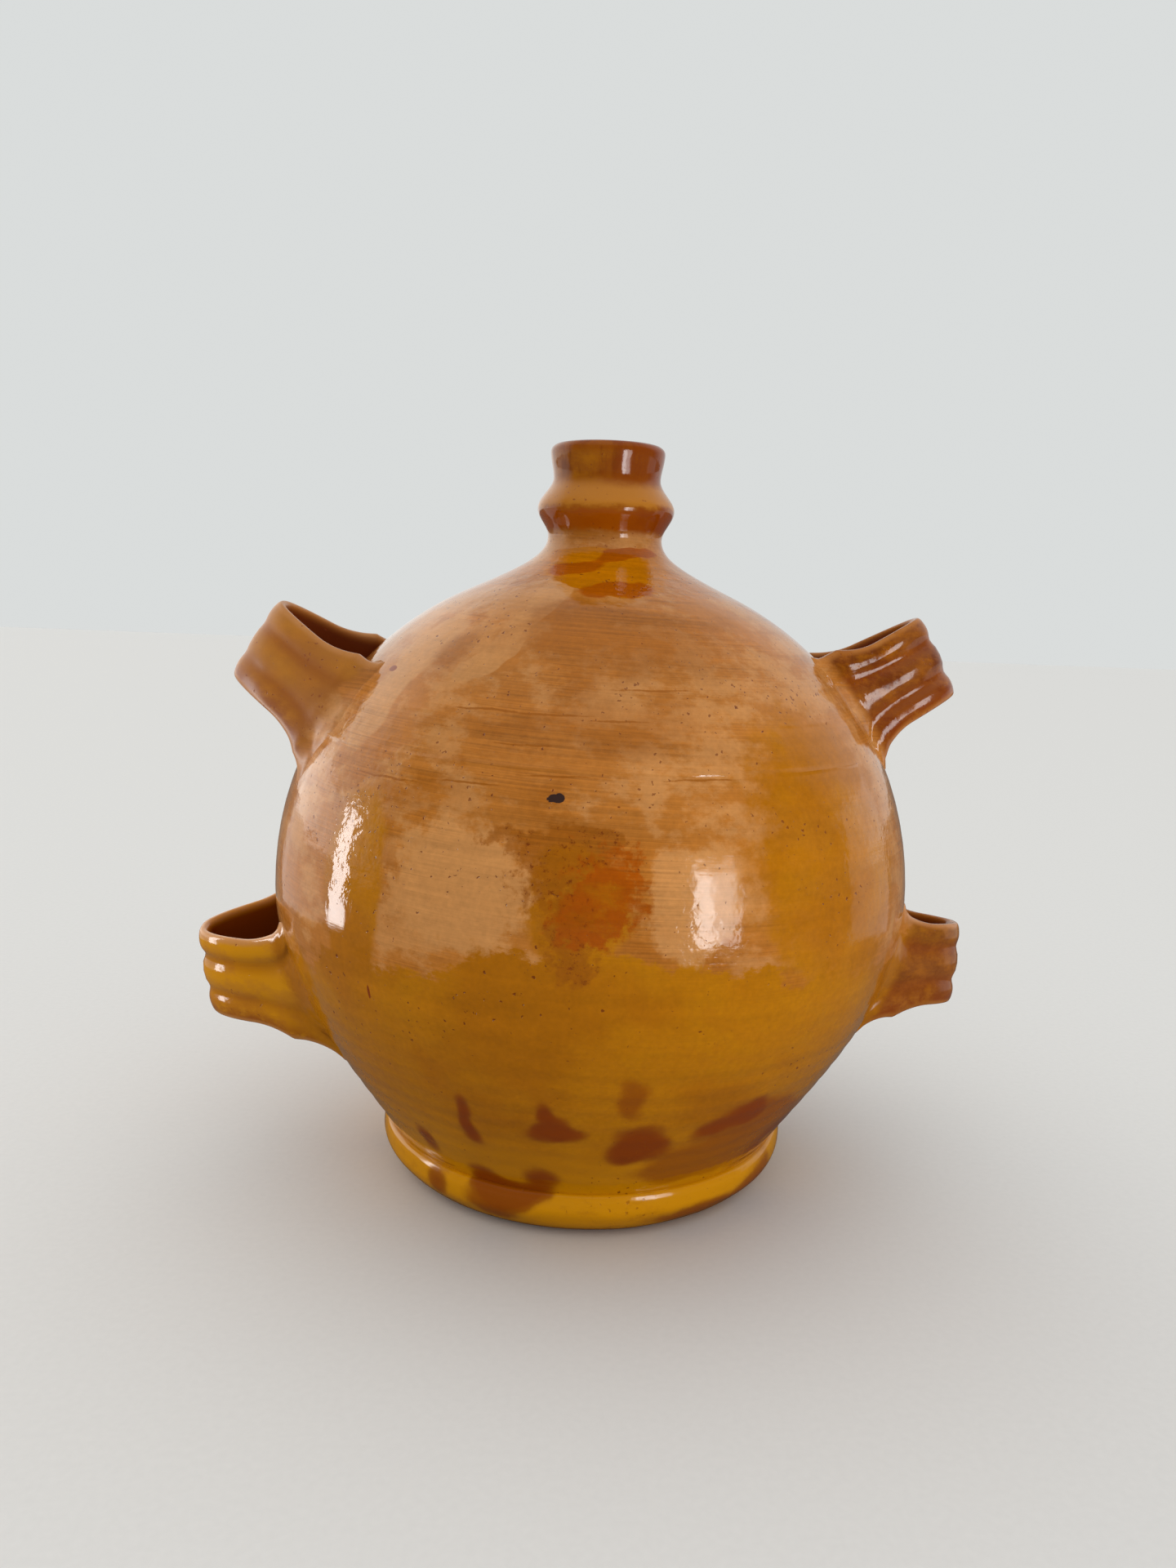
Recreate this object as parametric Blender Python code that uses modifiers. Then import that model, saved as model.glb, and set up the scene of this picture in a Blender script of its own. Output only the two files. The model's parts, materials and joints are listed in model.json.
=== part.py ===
"""Strap-handled storage jar in glazed earthenware, as the potter's separate luted pieces.

The jar is thrown in two halves that meet on a seam above the belly, set on a flanged foot,
topped with a beaded neck and given four pulled strap loops for a carrying cord.
Each piece is its own solid, with a thin bed of slip between it and what it is luted to.
Run with: blender --background --python part.py
"""

import math

import bmesh
import bpy

# Driving dimensions, in metres and degrees. The jar stands on z = 0 with its axis on Z.
JAR = "strap_handled_jar"
SLIP_BED = 0.0003

# Thrown body: a round belly, drawn in to the foot in a long flat curve.
BELLY_RADIUS = 0.1225
BELLY_HEIGHT = 0.114
WALL = 0.007
LOWER_FULLNESS = 0.036
WAIST_LEAN = 32.0
WAIST_DRAW = 0.030
SEAM_RISE = 0.057
TONGUE = 0.003

# Foot: a flat slab whose edge flares out into a rounded flange under the wall.
FOOT_RADIUS = 0.0703
FLANGE_RADIUS = 0.0815
FLANGE_HEIGHT = 0.018
FLANGE_ROUND = 0.0015
WAIST_RADIUS = 0.0786
FLOOR = 0.009

# Neck: a hollow-sided collar with a round bead and a rolled lip. Rises are above its waist.
SHOULDER_RADIUS = 0.0507
NECK_RISE = 0.0205
NECK_WAIST_RADIUS = 0.0221
BEAD_RADIUS = 0.0264
BEAD_RISE = 0.0105
THROAT_RADIUS = 0.0202
THROAT_RISE = 0.022
LIP_RADIUS = 0.0213
LIP_RISE = 0.0315
LIP_ROUND = 0.003
BORE_RADIUS = 0.0145
SPIGOT_DEPTH = 0.006

# Pulled straps: a fluted band bent into a pinched loop, spread where it is pressed to the wall.
STRAP_THICKNESS = 0.0058
FLUTE_DEPTH = 0.0020
FLUTE_PLACE = 0.4
FLUTE_WIDTH = 0.17
ROOT_DEPTH = 0.010
ROOT_LENGTH = 0.016
ROOT_SPREAD = 0.28
ROOT_THICKENING = 0.5
LOOP_PINCH = 1.5
LOOP_NOSE = 0.17

# Each strap: azimuth, rise above the belly, tilt and twist in degrees, reach, half span, width
# and the share of the full flute depth that its face shows.
STRAPS = {
    "upper_left_strap": (186.8, 0.0717, 32.5, -5.3, 0.0375, 0.0331, 0.0331, 0.45),
    "upper_right_strap": (3.5, 0.0730, 28.4, -4.8, 0.0417, 0.0285, 0.0336, 1.0),
    "lower_left_strap": (186.7, -0.0337, -7.6, -5.2, 0.0365, 0.0333, 0.0340, 1.0),
    "lower_right_strap": (-3.9, -0.0258, -3.4, -7.6, 0.0290, 0.0305, 0.0313, 0.75),
}

# Facets of the round pieces.
BODY_STEPS = 48
NECK_STEPS = 40
STRAP_SECTIONS = 18

# Glaze colours in linear RGB, and how glossy the fired glaze is.
HONEY_YELLOW = (0.56, 0.24, 0.008)
AMBER = (0.48, 0.18, 0.006)
TAN = (0.47, 0.19, 0.045)
BROWN_HONEY = (0.34, 0.11, 0.012)
STRAP_BROWN = (0.30, 0.085, 0.012)
GLAZE_ROUGHNESS = 0.14


def bezier(start, first, second, end, count):
    """Points along a cubic curve, both ends included."""
    points = []
    for step in range(count + 1):
        t = step / count
        weights = ((1 - t) ** 3, 3 * (1 - t) ** 2 * t, 3 * (1 - t) * t * t, t ** 3)
        corners = (start, first, second, end)
        points.append(tuple(sum(w * c[axis] for w, c in zip(weights, corners)) for axis in (0, 1)))
    return points


def ball_arc(radius, top, bottom, count):
    """The side of a ball round the belly's centre, from one height down to another."""
    high = math.asin((top - BELLY_HEIGHT) / radius)
    low = math.asin((bottom - BELLY_HEIGHT) / radius)
    angles = [high + (low - high) * step / count for step in range(count + 1)]
    return [(radius * math.cos(a), BELLY_HEIGHT + radius * math.sin(a)) for a in angles]


def swell(start, end, count):
    """A hollow or a bulge between two extremes of a turned outline, without its first point."""
    points = []
    for step in range(1, count + 1):
        t = step / count
        ease = (1 - math.cos(math.pi * t)) / 2
        points.append((start[0] + (end[0] - start[0]) * ease, start[1] + (end[1] - start[1]) * t))
    return points


def offset(points, distance):
    """An outline that runs downwards, moved towards the axis by a distance along its normals."""
    moved = []
    for index, point in enumerate(points):
        before = points[max(index - 1, 0)]
        after = points[min(index + 1, len(points) - 1)]
        along = (after[0] - before[0], after[1] - before[1])
        length = math.hypot(*along)
        moved.append((point[0] + along[1] / length * distance, point[1] - along[0] / length * distance))
    return moved


def run_on(points, height):
    """An outline whose last stretch runs on straight until it reaches a height."""
    (r0, z0), (r1, z1) = points[-2:]
    return points + [(r1 + (r1 - r0) * (height - z1) / (z1 - z0), height)]


def radius_at(points, height):
    """The radius of an outline at a height, between its points."""
    for (r0, z0), (r1, z1) in zip(points, points[1:]):
        if min(z0, z1) <= height <= max(z0, z1):
            return r0 + (r1 - r0) * (height - z0) / (z1 - z0)
    raise ValueError(f"the outline has no point at height {height}")


def middle(first, second):
    return (first + second) / 2


# Outlines that several pieces share, each running from top to bottom.
SEAM = BELLY_HEIGHT + SEAM_RISE
SHOULDER = BELLY_HEIGHT + math.sqrt(BELLY_RADIUS ** 2 - SHOULDER_RADIUS ** 2)
NECK_WAIST = SHOULDER + NECK_RISE
SHOULDER_SLOPE = SHOULDER_RADIUS / (SHOULDER - BELLY_HEIGHT)
ROOT_RUN = SHOULDER_RADIUS - NECK_WAIST_RADIUS
NECK_FILLET = bezier(
    (NECK_WAIST_RADIUS, NECK_WAIST),
    (NECK_WAIST_RADIUS, NECK_WAIST - 0.33 * NECK_RISE),
    (SHOULDER_RADIUS - 0.72 * ROOT_RUN, SHOULDER + 0.72 * ROOT_RUN * SHOULDER_SLOPE),
    (SHOULDER_RADIUS, SHOULDER),
    9,
)
NECK_JOINT = 3
DOME_BALL = ball_arc(BELLY_RADIUS, SHOULDER, SEAM, 7)
BOWL_BALL = ball_arc(BELLY_RADIUS, SEAM, BELLY_HEIGHT, 5)
LOWER_WALL = bezier(
    (BELLY_RADIUS, BELLY_HEIGHT),
    (BELLY_RADIUS, BELLY_HEIGHT - LOWER_FULLNESS),
    (WAIST_RADIUS + math.tan(math.radians(WAIST_LEAN)) * WAIST_DRAW, FLANGE_HEIGHT + WAIST_DRAW),
    (WAIST_RADIUS, FLANGE_HEIGHT),
    9,
)
DOME_OUTSIDE = NECK_FILLET[NECK_JOINT:-1] + DOME_BALL
BOWL_OUTSIDE = BOWL_BALL[:-1] + LOWER_WALL
BODY_OUTSIDE = NECK_FILLET[:NECK_JOINT] + DOME_OUTSIDE + BOWL_OUTSIDE[1:]
INNER_RADIUS = BELLY_RADIUS - WALL
LOWER_INSIDE = run_on(offset(LOWER_WALL, WALL), FLOOR)

# The tongues that key the pieces: half the wall's width at the seam and on the foot.
SEAM_MIDDLE = middle(BOWL_BALL[0][0], ball_arc(INNER_RADIUS, SEAM, BELLY_HEIGHT, 1)[0][0])
FOOT_INSIDE = radius_at(LOWER_INSIDE, FLANGE_HEIGHT + TONGUE)
FOOT_MIDDLE = middle(WAIST_RADIUS, FOOT_INSIDE)
SEAT_RADIUS, SEAT = NECK_FILLET[NECK_JOINT]
SPIGOT_RADIUS = middle(SEAT_RADIUS, BORE_RADIUS)


def foot_outline():
    """The slab, from the middle of its floor over the keyed rim and the flange to its underside."""
    flange_top = FLANGE_HEIGHT - FLANGE_ROUND
    rim = [
        (0.0, FLOOR),
        (FOOT_INSIDE - TONGUE, FLOOR),
        (FOOT_INSIDE, FLOOR + TONGUE),
        (FOOT_INSIDE, FLANGE_HEIGHT + TONGUE),
        (FOOT_MIDDLE, FLANGE_HEIGHT + TONGUE),
        (FOOT_MIDDLE, FLANGE_HEIGHT),
        (FLANGE_RADIUS - FLANGE_ROUND, FLANGE_HEIGHT),
        (FLANGE_RADIUS - 0.29 * FLANGE_ROUND, FLANGE_HEIGHT - 0.29 * FLANGE_ROUND),
    ]
    flare = bezier(
        (FLANGE_RADIUS, flange_top),
        (FLANGE_RADIUS, 0.62 * flange_top),
        (middle(FLANGE_RADIUS, FOOT_RADIUS), 0.2 * flange_top),
        (FOOT_RADIUS, 0.0),
        7,
    )
    return rim + flare + [(0.0, 0.0)]


def bowl_outline():
    """The lower half: outside from the seam down to the foot, then its inside back up."""
    tongue_top = SEAM + TONGUE
    key_top = FLANGE_HEIGHT + TONGUE + SLIP_BED
    bed = FLANGE_HEIGHT + SLIP_BED
    outside = [(SEAM_MIDDLE, tongue_top), (SEAM_MIDDLE, SEAM)] + BOWL_OUTSIDE[:-1]
    outside.append((radius_at(LOWER_WALL, bed), bed))
    key = [(FOOT_MIDDLE + SLIP_BED, bed), (FOOT_MIDDLE + SLIP_BED, key_top)]
    key.append((radius_at(LOWER_INSIDE, key_top), key_top))
    wall = [point for point in reversed(LOWER_INSIDE[1:]) if point[1] > key_top + TONGUE]
    return outside + key + wall + ball_arc(INNER_RADIUS, BELLY_HEIGHT, tongue_top, 5)


def dome_outline():
    """The upper half: outside from the neck's seat down to the seam, then its inside back up."""
    bed = SEAM + SLIP_BED
    key_top = bed + TONGUE
    ledge = SEAT - SPIGOT_DEPTH
    mouth = BELLY_HEIGHT + math.sqrt(INNER_RADIUS ** 2 - BORE_RADIUS ** 2)
    seat = [(SPIGOT_RADIUS + SLIP_BED, ledge), (SPIGOT_RADIUS + SLIP_BED, SEAT)]
    key = [(radius_at(BODY_OUTSIDE, bed), bed), (SEAM_MIDDLE + SLIP_BED, bed), (SEAM_MIDDLE + SLIP_BED, key_top)]
    inside = ball_arc(INNER_RADIUS, key_top, mouth, 8)
    return seat + DOME_OUTSIDE[:-1] + key + inside + [(BORE_RADIUS, ledge)]


def neck_outline():
    """The neck, from its lip down over the bead and the flared root, then up its bore."""
    lip = NECK_WAIST + LIP_RISE
    lip_middle = middle(LIP_RADIUS, BORE_RADIUS)
    lip_half = LIP_RADIUS - lip_middle
    angles = [math.pi * step / 8 for step in range(8, -1, -1)]
    rolled_lip = [(lip_middle + lip_half * math.cos(a), lip + LIP_ROUND * math.sin(a)) for a in angles]
    extremes = [
        (LIP_RADIUS, lip),
        (THROAT_RADIUS, NECK_WAIST + THROAT_RISE),
        (BEAD_RADIUS, NECK_WAIST + BEAD_RISE),
        (NECK_WAIST_RADIUS, NECK_WAIST),
    ]
    collar = []
    for (start, end), count in zip(zip(extremes, extremes[1:]), (4, 6, 6)):
        collar += swell(start, end, count)
    bed = SEAT + SLIP_BED
    spigot_end = SEAT - SPIGOT_DEPTH + SLIP_BED
    root = NECK_FILLET[1:NECK_JOINT] + [(radius_at(BODY_OUTSIDE, bed), bed)]
    spigot = [(SPIGOT_RADIUS, bed), (SPIGOT_RADIUS, spigot_end), (BORE_RADIUS, spigot_end)]
    return rolled_lip + collar + root + spigot


def clear_scene():
    for scene_object in list(bpy.data.objects):
        bpy.data.objects.remove(scene_object, do_unlink=True)


def new_collection(name):
    collection = bpy.data.collections.new(name)
    bpy.context.scene.collection.children.link(collection)
    return collection


def glaze(name, colour):
    """One piece's fired glaze."""
    material = bpy.data.materials.new(name + "_glaze")
    material.use_nodes = True
    shader = material.node_tree.nodes["Principled BSDF"]
    shader.inputs["Base Color"].default_value = (*colour, 1.0)
    shader.inputs["Roughness"].default_value = GLAZE_ROUGHNESS
    shader.inputs["Metallic"].default_value = 0.0
    return material


def turned(name, outline, closed, steps, collection):
    """An object whose outline at +X is turned round Z. A closed outline makes a ring."""
    mesh = bpy.data.meshes.new(name)
    edges = [(index, index + 1) for index in range(len(outline) - 1)]
    if closed:
        edges.append((len(outline) - 1, 0))
    mesh.from_pydata([(radius, 0.0, height) for radius, height in outline], edges, [])
    piece = bpy.data.objects.new(name, mesh)
    collection.objects.link(piece)
    screw = piece.modifiers.new("turned_on_the_wheel", "SCREW")
    screw.steps = steps
    screw.render_steps = steps
    screw.use_merge_vertices = True
    screw.merge_threshold = 0.00001
    screw.use_smooth_shade = True
    return piece


def body_cutter(collection):
    """The jar's outside with the slip bed added, to shape the ends of the straps."""
    skin = offset(BODY_OUTSIDE, -SLIP_BED)
    outline = [(0.0, skin[0][1])] + skin + [(0.0, skin[-1][1])]
    cutter = turned("body_with_slip_bed", outline, False, BODY_STEPS, collection)
    cutter.hide_render = True
    cutter.display_type = "WIRE"
    return cutter


def loop_point(place, reach, half_span):
    """A point of the loop's middle line in its own plane. Place runs from -1 to 1, 0 at the nose."""
    soft = (math.hypot(place, LOOP_NOSE) - LOOP_NOSE) / (math.hypot(1, LOOP_NOSE) - LOOP_NOSE)
    return (reach - (reach + ROOT_DEPTH) * soft ** LOOP_PINCH, half_span * place)


def band_section(width, thickness, flute_depth):
    """The band across its width, with a flute each side of its middle: (outward, upward) points round it."""
    section = []
    for step in range(11):
        across = -1 + step / 5
        flute = flute_depth * math.exp(-(((abs(across) - FLUTE_PLACE) / FLUTE_WIDTH) ** 2))
        edge = 1 - abs(across) ** 6
        section.append(((thickness / 2 - flute) * edge, across * width / 2))
    for step in range(5):
        across = 0.8 - 0.4 * step
        section.append((-thickness / 2 * (1 - abs(across) ** 6), across * width / 2))
    return section


def strap(name, sizes, cutter, collection):
    """One pulled strap: the band swept round its loop, its ends cut to the curve of the wall."""
    azimuth, rise, tilt, twist, reach, half_span, width, fluting = sizes
    nose = reach - STRAP_THICKNESS / 2
    shell = bmesh.new()
    rings = []
    for step in range(STRAP_SECTIONS + 1):
        place = -1.12 + 2.24 * step / STRAP_SECTIONS
        out, along = loop_point(place, nose, half_span)
        ahead = loop_point(place + 0.01, nose, half_span)
        behind = loop_point(place - 0.01, nose, half_span)
        run = (ahead[0] - behind[0], ahead[1] - behind[1])
        length = math.hypot(*run)
        normal = (run[1] / length, -run[0] / length)
        spread = max(0.0, 1 - max(out, 0.0) / ROOT_LENGTH) ** 2
        section = band_section(
            width * (1 + ROOT_SPREAD * spread),
            STRAP_THICKNESS * (1 + ROOT_THICKENING * spread),
            FLUTE_DEPTH * fluting,
        )
        rings.append([shell.verts.new((out + normal[0] * o, along + normal[1] * o, up)) for o, up in section])
    for ring, following in zip(rings, rings[1:]):
        for index, corner in enumerate(ring):
            after = (index + 1) % len(ring)
            shell.faces.new((corner, ring[after], following[after], following[index]))
    shell.faces.new(reversed(rings[0]))
    shell.faces.new(rings[-1])
    bmesh.ops.recalc_face_normals(shell, faces=shell.faces)
    mesh = bpy.data.meshes.new(name)
    shell.to_mesh(mesh)
    shell.free()
    mesh.shade_smooth()
    piece = bpy.data.objects.new(name, mesh)
    collection.objects.link(piece)
    height = BELLY_HEIGHT + rise
    reach_of_wall = radius_at(BODY_OUTSIDE, height)
    turn = math.radians(azimuth)
    piece.location = (reach_of_wall * math.cos(turn), reach_of_wall * math.sin(turn), height)
    piece.rotation_euler = (math.radians(twist), -math.radians(tilt), turn)
    cut = piece.modifiers.new("pressed_to_the_wall", "BOOLEAN")
    cut.operation = "DIFFERENCE"
    cut.solver = "EXACT"
    cut.object = cutter
    return piece


def main():
    clear_scene()
    pieces = new_collection(JAR)
    cutters = new_collection(JAR + "_cutters")
    stand = bpy.data.objects.new(JAR + "_origin", None)
    pieces.objects.link(stand)
    built = {
        "foot": (turned("foot", foot_outline(), False, BODY_STEPS, pieces), HONEY_YELLOW),
        "lower_bowl": (turned("lower_bowl", bowl_outline(), True, BODY_STEPS, pieces), AMBER),
        "upper_dome": (turned("upper_dome", dome_outline(), True, BODY_STEPS, pieces), TAN),
        "neck": (turned("neck", neck_outline(), True, NECK_STEPS, pieces), BROWN_HONEY),
    }
    cutter = body_cutter(cutters)
    for name, sizes in STRAPS.items():
        built[name] = (strap(name, sizes, cutter, pieces), STRAP_BROWN)
    for name, (piece, colour) in built.items():
        piece.data.materials.append(glaze(name, colour))
        piece.parent = stand


main()
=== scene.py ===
"""Looks of the strap-handled jar: glazed earthenware pieces, floor, light and camera.

Laid out as an add-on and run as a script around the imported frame, which fixes every size and place.
"""

import bisect
import functools
import json
import math

import bmesh
import bpy
from mathutils import Euler, Matrix, Vector, noise

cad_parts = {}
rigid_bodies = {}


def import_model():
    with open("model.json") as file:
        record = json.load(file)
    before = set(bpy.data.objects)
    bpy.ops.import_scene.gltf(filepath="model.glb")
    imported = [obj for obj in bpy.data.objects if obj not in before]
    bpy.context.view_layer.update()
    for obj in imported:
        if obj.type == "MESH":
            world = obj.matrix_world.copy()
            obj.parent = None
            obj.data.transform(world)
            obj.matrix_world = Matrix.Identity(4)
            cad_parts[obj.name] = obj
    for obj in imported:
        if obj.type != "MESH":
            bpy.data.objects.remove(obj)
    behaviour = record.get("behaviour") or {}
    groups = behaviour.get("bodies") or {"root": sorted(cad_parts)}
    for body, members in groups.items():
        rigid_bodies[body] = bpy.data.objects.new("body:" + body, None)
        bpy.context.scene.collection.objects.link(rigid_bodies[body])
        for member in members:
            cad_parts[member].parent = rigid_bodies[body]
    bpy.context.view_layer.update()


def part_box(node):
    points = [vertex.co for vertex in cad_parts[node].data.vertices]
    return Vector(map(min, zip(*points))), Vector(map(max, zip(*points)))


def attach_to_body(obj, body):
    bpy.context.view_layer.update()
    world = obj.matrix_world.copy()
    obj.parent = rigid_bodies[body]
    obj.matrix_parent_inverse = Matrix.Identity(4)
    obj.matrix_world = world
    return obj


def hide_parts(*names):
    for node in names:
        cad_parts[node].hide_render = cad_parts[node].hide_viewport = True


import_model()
FOOT_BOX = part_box("foot")
BOWL_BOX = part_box("lower_bowl")
DOME_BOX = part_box("upper_dome")
NECK_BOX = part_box("neck")

bl_info = {
    "name": "Strap-handled jar",
    "version": (1, 0, 0),
    "blender": (4, 5, 0),
    "location": "3D View > Sidebar > Jar",
    "description": "Builds the glazed pieces of a strap-handled earthenware jar on its packed frame",
    "category": "Object",
}

BODY = "root"

# Each strap: azimuth, rise above the belly, tilt and twist in degrees, reach, half span, width,
# how brown its glaze is, how deep its grooves are, how matt it is and how far its roots are smeared.
STRAPS = {
    "upper_left_strap": (186.8, 0.0717, 32.5, -5.3, 0.0375, 0.0331, 0.0331, 0.55, 0.30, 0.20, 1.00),
    "upper_right_strap": (3.5, 0.0730, 28.4, -4.8, 0.0417, 0.0285, 0.0336, 1.00, 1.00, 0.0, 0.60),
    "lower_left_strap": (186.7, -0.0337, -7.6, -5.2, 0.0365, 0.0333, 0.0340, 0.00, 1.00, 0.0, 1.00),
    "lower_right_strap": (-3.9, -0.0258, -3.4, -7.6, 0.0290, 0.0305, 0.0313, 0.95, 0.75, 0.05, 0.80),
}
STRAP_SECTIONS = 150
STRAP_SIDES = 72

# Areas of colour: azimuth from the front in degrees, height, half width, half height, weight.
CREASE_RUNS = (
    (-24.8, 0.0208, 0.0052, 0.0045, 1.00),
    (-9.1, 0.0255, 0.0058, 0.0050, 1.00),
    (-17.0, 0.0185, 0.0100, 0.0028, 1.00),
)
DARK_RUNS = CREASE_RUNS + (
    (-22.5, 0.0585, 0.0022, 0.0048, 0.90),
    (-23.4, 0.0510, 0.0020, 0.0045, 0.80),
    (-23.0, 0.0445, 0.0034, 0.0042, 1.00),
    (-38.5, 0.0325, 0.0036, 0.0055, 1.00),
    (-7.5, 0.0490, 0.0050, 0.0032, 1.00),
    (-2.2, 0.0497, 0.0046, 0.0030, 1.00),
    (-5.6, 0.0545, 0.0048, 0.0042, 1.00),
    (-6.8, 0.0605, 0.0022, 0.0040, 0.80),
    (11.2, 0.0490, 0.0072, 0.0052, 1.00),
    (13.5, 0.0420, 0.0085, 0.0050, 1.00),
    (8.5, 0.0400, 0.0050, 0.0045, 0.70),
    (25.5, 0.0490, 0.0055, 0.0040, 0.65),
    (31.5, 0.0530, 0.0090, 0.0060, 0.85),
    (35.0, 0.0545, 0.0060, 0.0050, 0.85),
    (56.0, 0.0300, 0.0150, 0.0110, 0.95),
    (78.0, 0.0520, 0.0060, 0.0080, 0.95),
    (98.0, 0.0420, 0.0110, 0.0060, 1.00),
    (101.0, 0.0530, 0.0040, 0.0090, 0.90),
    (124.0, 0.0560, 0.0034, 0.0080, 0.95),
    (146.0, 0.0440, 0.0090, 0.0070, 1.00),
    (170.0, 0.0500, 0.0130, 0.0055, 0.90),
    (-164.0, 0.0420, 0.0060, 0.0100, 0.95),
    (-141.0, 0.0540, 0.0095, 0.0050, 1.00),
    (-118.0, 0.0450, 0.0050, 0.0090, 0.95),
    (-96.0, 0.0540, 0.0040, 0.0070, 0.95),
    (-68.0, 0.0440, 0.0090, 0.0060, 0.95),
)
FAINT_RUNS = (
    (8.9, 0.0690, 0.0046, 0.0080, 1.00),
    (36.0, 0.0420, 0.0220, 0.0130, 1.00),
    (24.0, 0.0300, 0.0170, 0.0060, 0.95),
    (41.0, 0.0470, 0.0130, 0.0085, 1.00),
    (50.0, 0.0330, 0.0200, 0.0120, 1.00),
    (112.0, 0.0380, 0.0200, 0.0100, 1.00),
    (-152.0, 0.0400, 0.0180, 0.0090, 1.00),
    (-80.0, 0.0360, 0.0160, 0.0070, 0.90),
)
FLANGE_RUNS = CREASE_RUNS + (
    (-39.6, 0.0125, 0.0048, 0.0050, 0.95),
    (-22.5, 0.0120, 0.0095, 0.0065, 1.00),
    (-16.0, 0.0170, 0.0085, 0.0040, 1.00),
    (35.0, 0.0070, 0.0200, 0.0042, 0.90),
    (58.0, 0.0100, 0.0110, 0.0060, 0.90),
    (104.0, 0.0130, 0.0100, 0.0050, 0.95),
    (163.0, 0.0110, 0.0080, 0.0060, 0.95),
    (-133.0, 0.0140, 0.0120, 0.0045, 0.95),
    (-84.0, 0.0120, 0.0060, 0.0060, 0.95),
)
# Amber kept clear of the tan above the glaze line. On the front they mark where the painted pale reflection
# of the room gives way to dark things reflected; on the back they are thick pools.
POOLS_AND_DARK_REFLECTIONS = ((43.0, 0.143, 0.0370, 0.0480, 1.0), (-39.5, 0.131, 0.0110, 0.0260, 1.5),
               (-1.8, 0.134, 0.0150, 0.0165, 1.2), (118.0, 0.140, 0.0300, 0.0450, 1.0),
               (-128.0, 0.150, 0.0220, 0.0400, 1.0))
PALE_STREAKS = ((-18.5, 0.2258, 0.0042, 0.0055, 1.0), (-21.5, 0.2190, 0.0045, 0.0055, 1.0),
                (-23.0, 0.2120, 0.0045, 0.0055, 1.0), (-25.2, 0.2050, 0.0048, 0.0050, 1.0),
                (-28.5, 0.1992, 0.0062, 0.0042, 1.0), (-49.0, 0.1860, 0.0080, 0.0160, 1.0),
                (-44.0, 0.2080, 0.0090, 0.0090, 0.9), (92.0, 0.2000, 0.0080, 0.0200, 1.0),
                (150.0, 0.2100, 0.0070, 0.0140, 1.0), (-156.0, 0.1900, 0.0090, 0.0200, 1.0))
BROWN_SHADES = ((-9.5, 0.2145, 0.0075, 0.0060, 0.9), (-36.5, 0.2050, 0.0050, 0.0060, 0.9),
                (8.0, 0.2110, 0.0400, 0.0120, 1.0), (-3.0, 0.1850, 0.0420, 0.0060, 0.9),
                (-14.0, 0.1480, 0.0260, 0.0120, 0.25), (172.0, 0.1700, 0.0400, 0.0200, 1.0),
                (-95.0, 0.2050, 0.0350, 0.0130, 1.0))
BURNT_CORE = ((1.8, 0.1385, 0.0102, 0.0110, 1.1), (-0.8, 0.1280, 0.0095, 0.0070, 0.9))
BURNT_HALO = ((-2.5, 0.1190, 0.0068, 0.0110, 0.9), (-5.0, 0.1500, 0.0110, 0.0045, 0.9),
              (1.5, 0.1515, 0.0085, 0.0024, 0.9), (-14.0, 0.1515, 0.0060, 0.0028, 0.8),
              (-5.5, 0.1390, 0.0110, 0.0110, 0.8))
# Painted reflection: two pale patches on the front that stand for the soft reflection of the windows.
WINDOW_SHEEN_PATCHES = ((-20.0, 0.1370, 0.0240, 0.0190, 1.0), (15.0, 0.1350, 0.0150, 0.0170, 1.0))
# A painted reflection of the room in the hollow below the neck: a honey patch with dark brown edges.
NECK_REFLECTION = ((8.0, 0.2395, 0.0240, 0.0022, 1.0), (4.0, 0.2350, 0.0245, 0.0026, 1.0),
             (4.0, 0.2305, 0.0205, 0.0028, 1.0), (7.0, 0.2268, 0.0125, 0.0026, 1.0))
NECK_REFLECTION_EDGES = ((-24.0, 0.2335, 0.0065, 0.0016, 1.0), (-10.0, 0.2352, 0.0065, 0.0015, 1.0),
                (6.0, 0.2380, 0.0055, 0.0012, 0.9), (14.0, 0.2402, 0.0060, 0.0014, 1.0),
                (38.0, 0.2405, 0.0070, 0.0016, 1.0), (0.0, 0.2262, 0.0080, 0.0022, 1.0),
                (13.0, 0.2275, 0.0080, 0.0024, 1.0))
SCRATCHES = ((-22.0, 0.1884, 0.0090, 0.0003, 1.2), (-9.0, 0.1880, 0.0110, 0.0003, 1.2),
             (3.5, 0.1866, 0.0080, 0.0003, 1.1), (-38.0, 0.1653, 0.0120, 0.0003, 1.2),
             (-21.0, 0.1668, 0.0100, 0.0003, 1.1), (-6.0, 0.1704, 0.0100, 0.0003, 1.1),
             (18.0, 0.1702, 0.0110, 0.0003, 1.0), (-12.0, 0.1790, 0.0100, 0.0003, 1.0),
             (12.0, 0.1960, 0.0120, 0.0003, 1.0), (128.0, 0.1760, 0.0200, 0.0003, 1.1),
             (-150.0, 0.1850, 0.0160, 0.0003, 1.1))
CHIPS = ((-6.3, 0.1642, 0.0021, 0.0013, 1.0), (-5.5, 0.1637, 0.0014, 0.0010, 1.0))
NICKS = ((-35.9, 0.0962, 0.0006, 0.0024, 1.0), (-52.3, 0.1975, 0.0022, 0.0010, 1.0))
# A painted highlight: a small pale fleck that stands for a glint.
PAINTED_GLINTS = ((-41.0, 0.1500, 0.0011, 0.0017, 1.0),)


def length(name, description, default):
    return bpy.props.FloatProperty(
        name=name, description=description, default=default, min=0.0, unit="LENGTH", precision=4
    )


def colour(name, description, default):
    return bpy.props.FloatVectorProperty(
        name=name, description=description, default=default, size=3, min=0.0, max=1.0, subtype="COLOR"
    )


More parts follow.
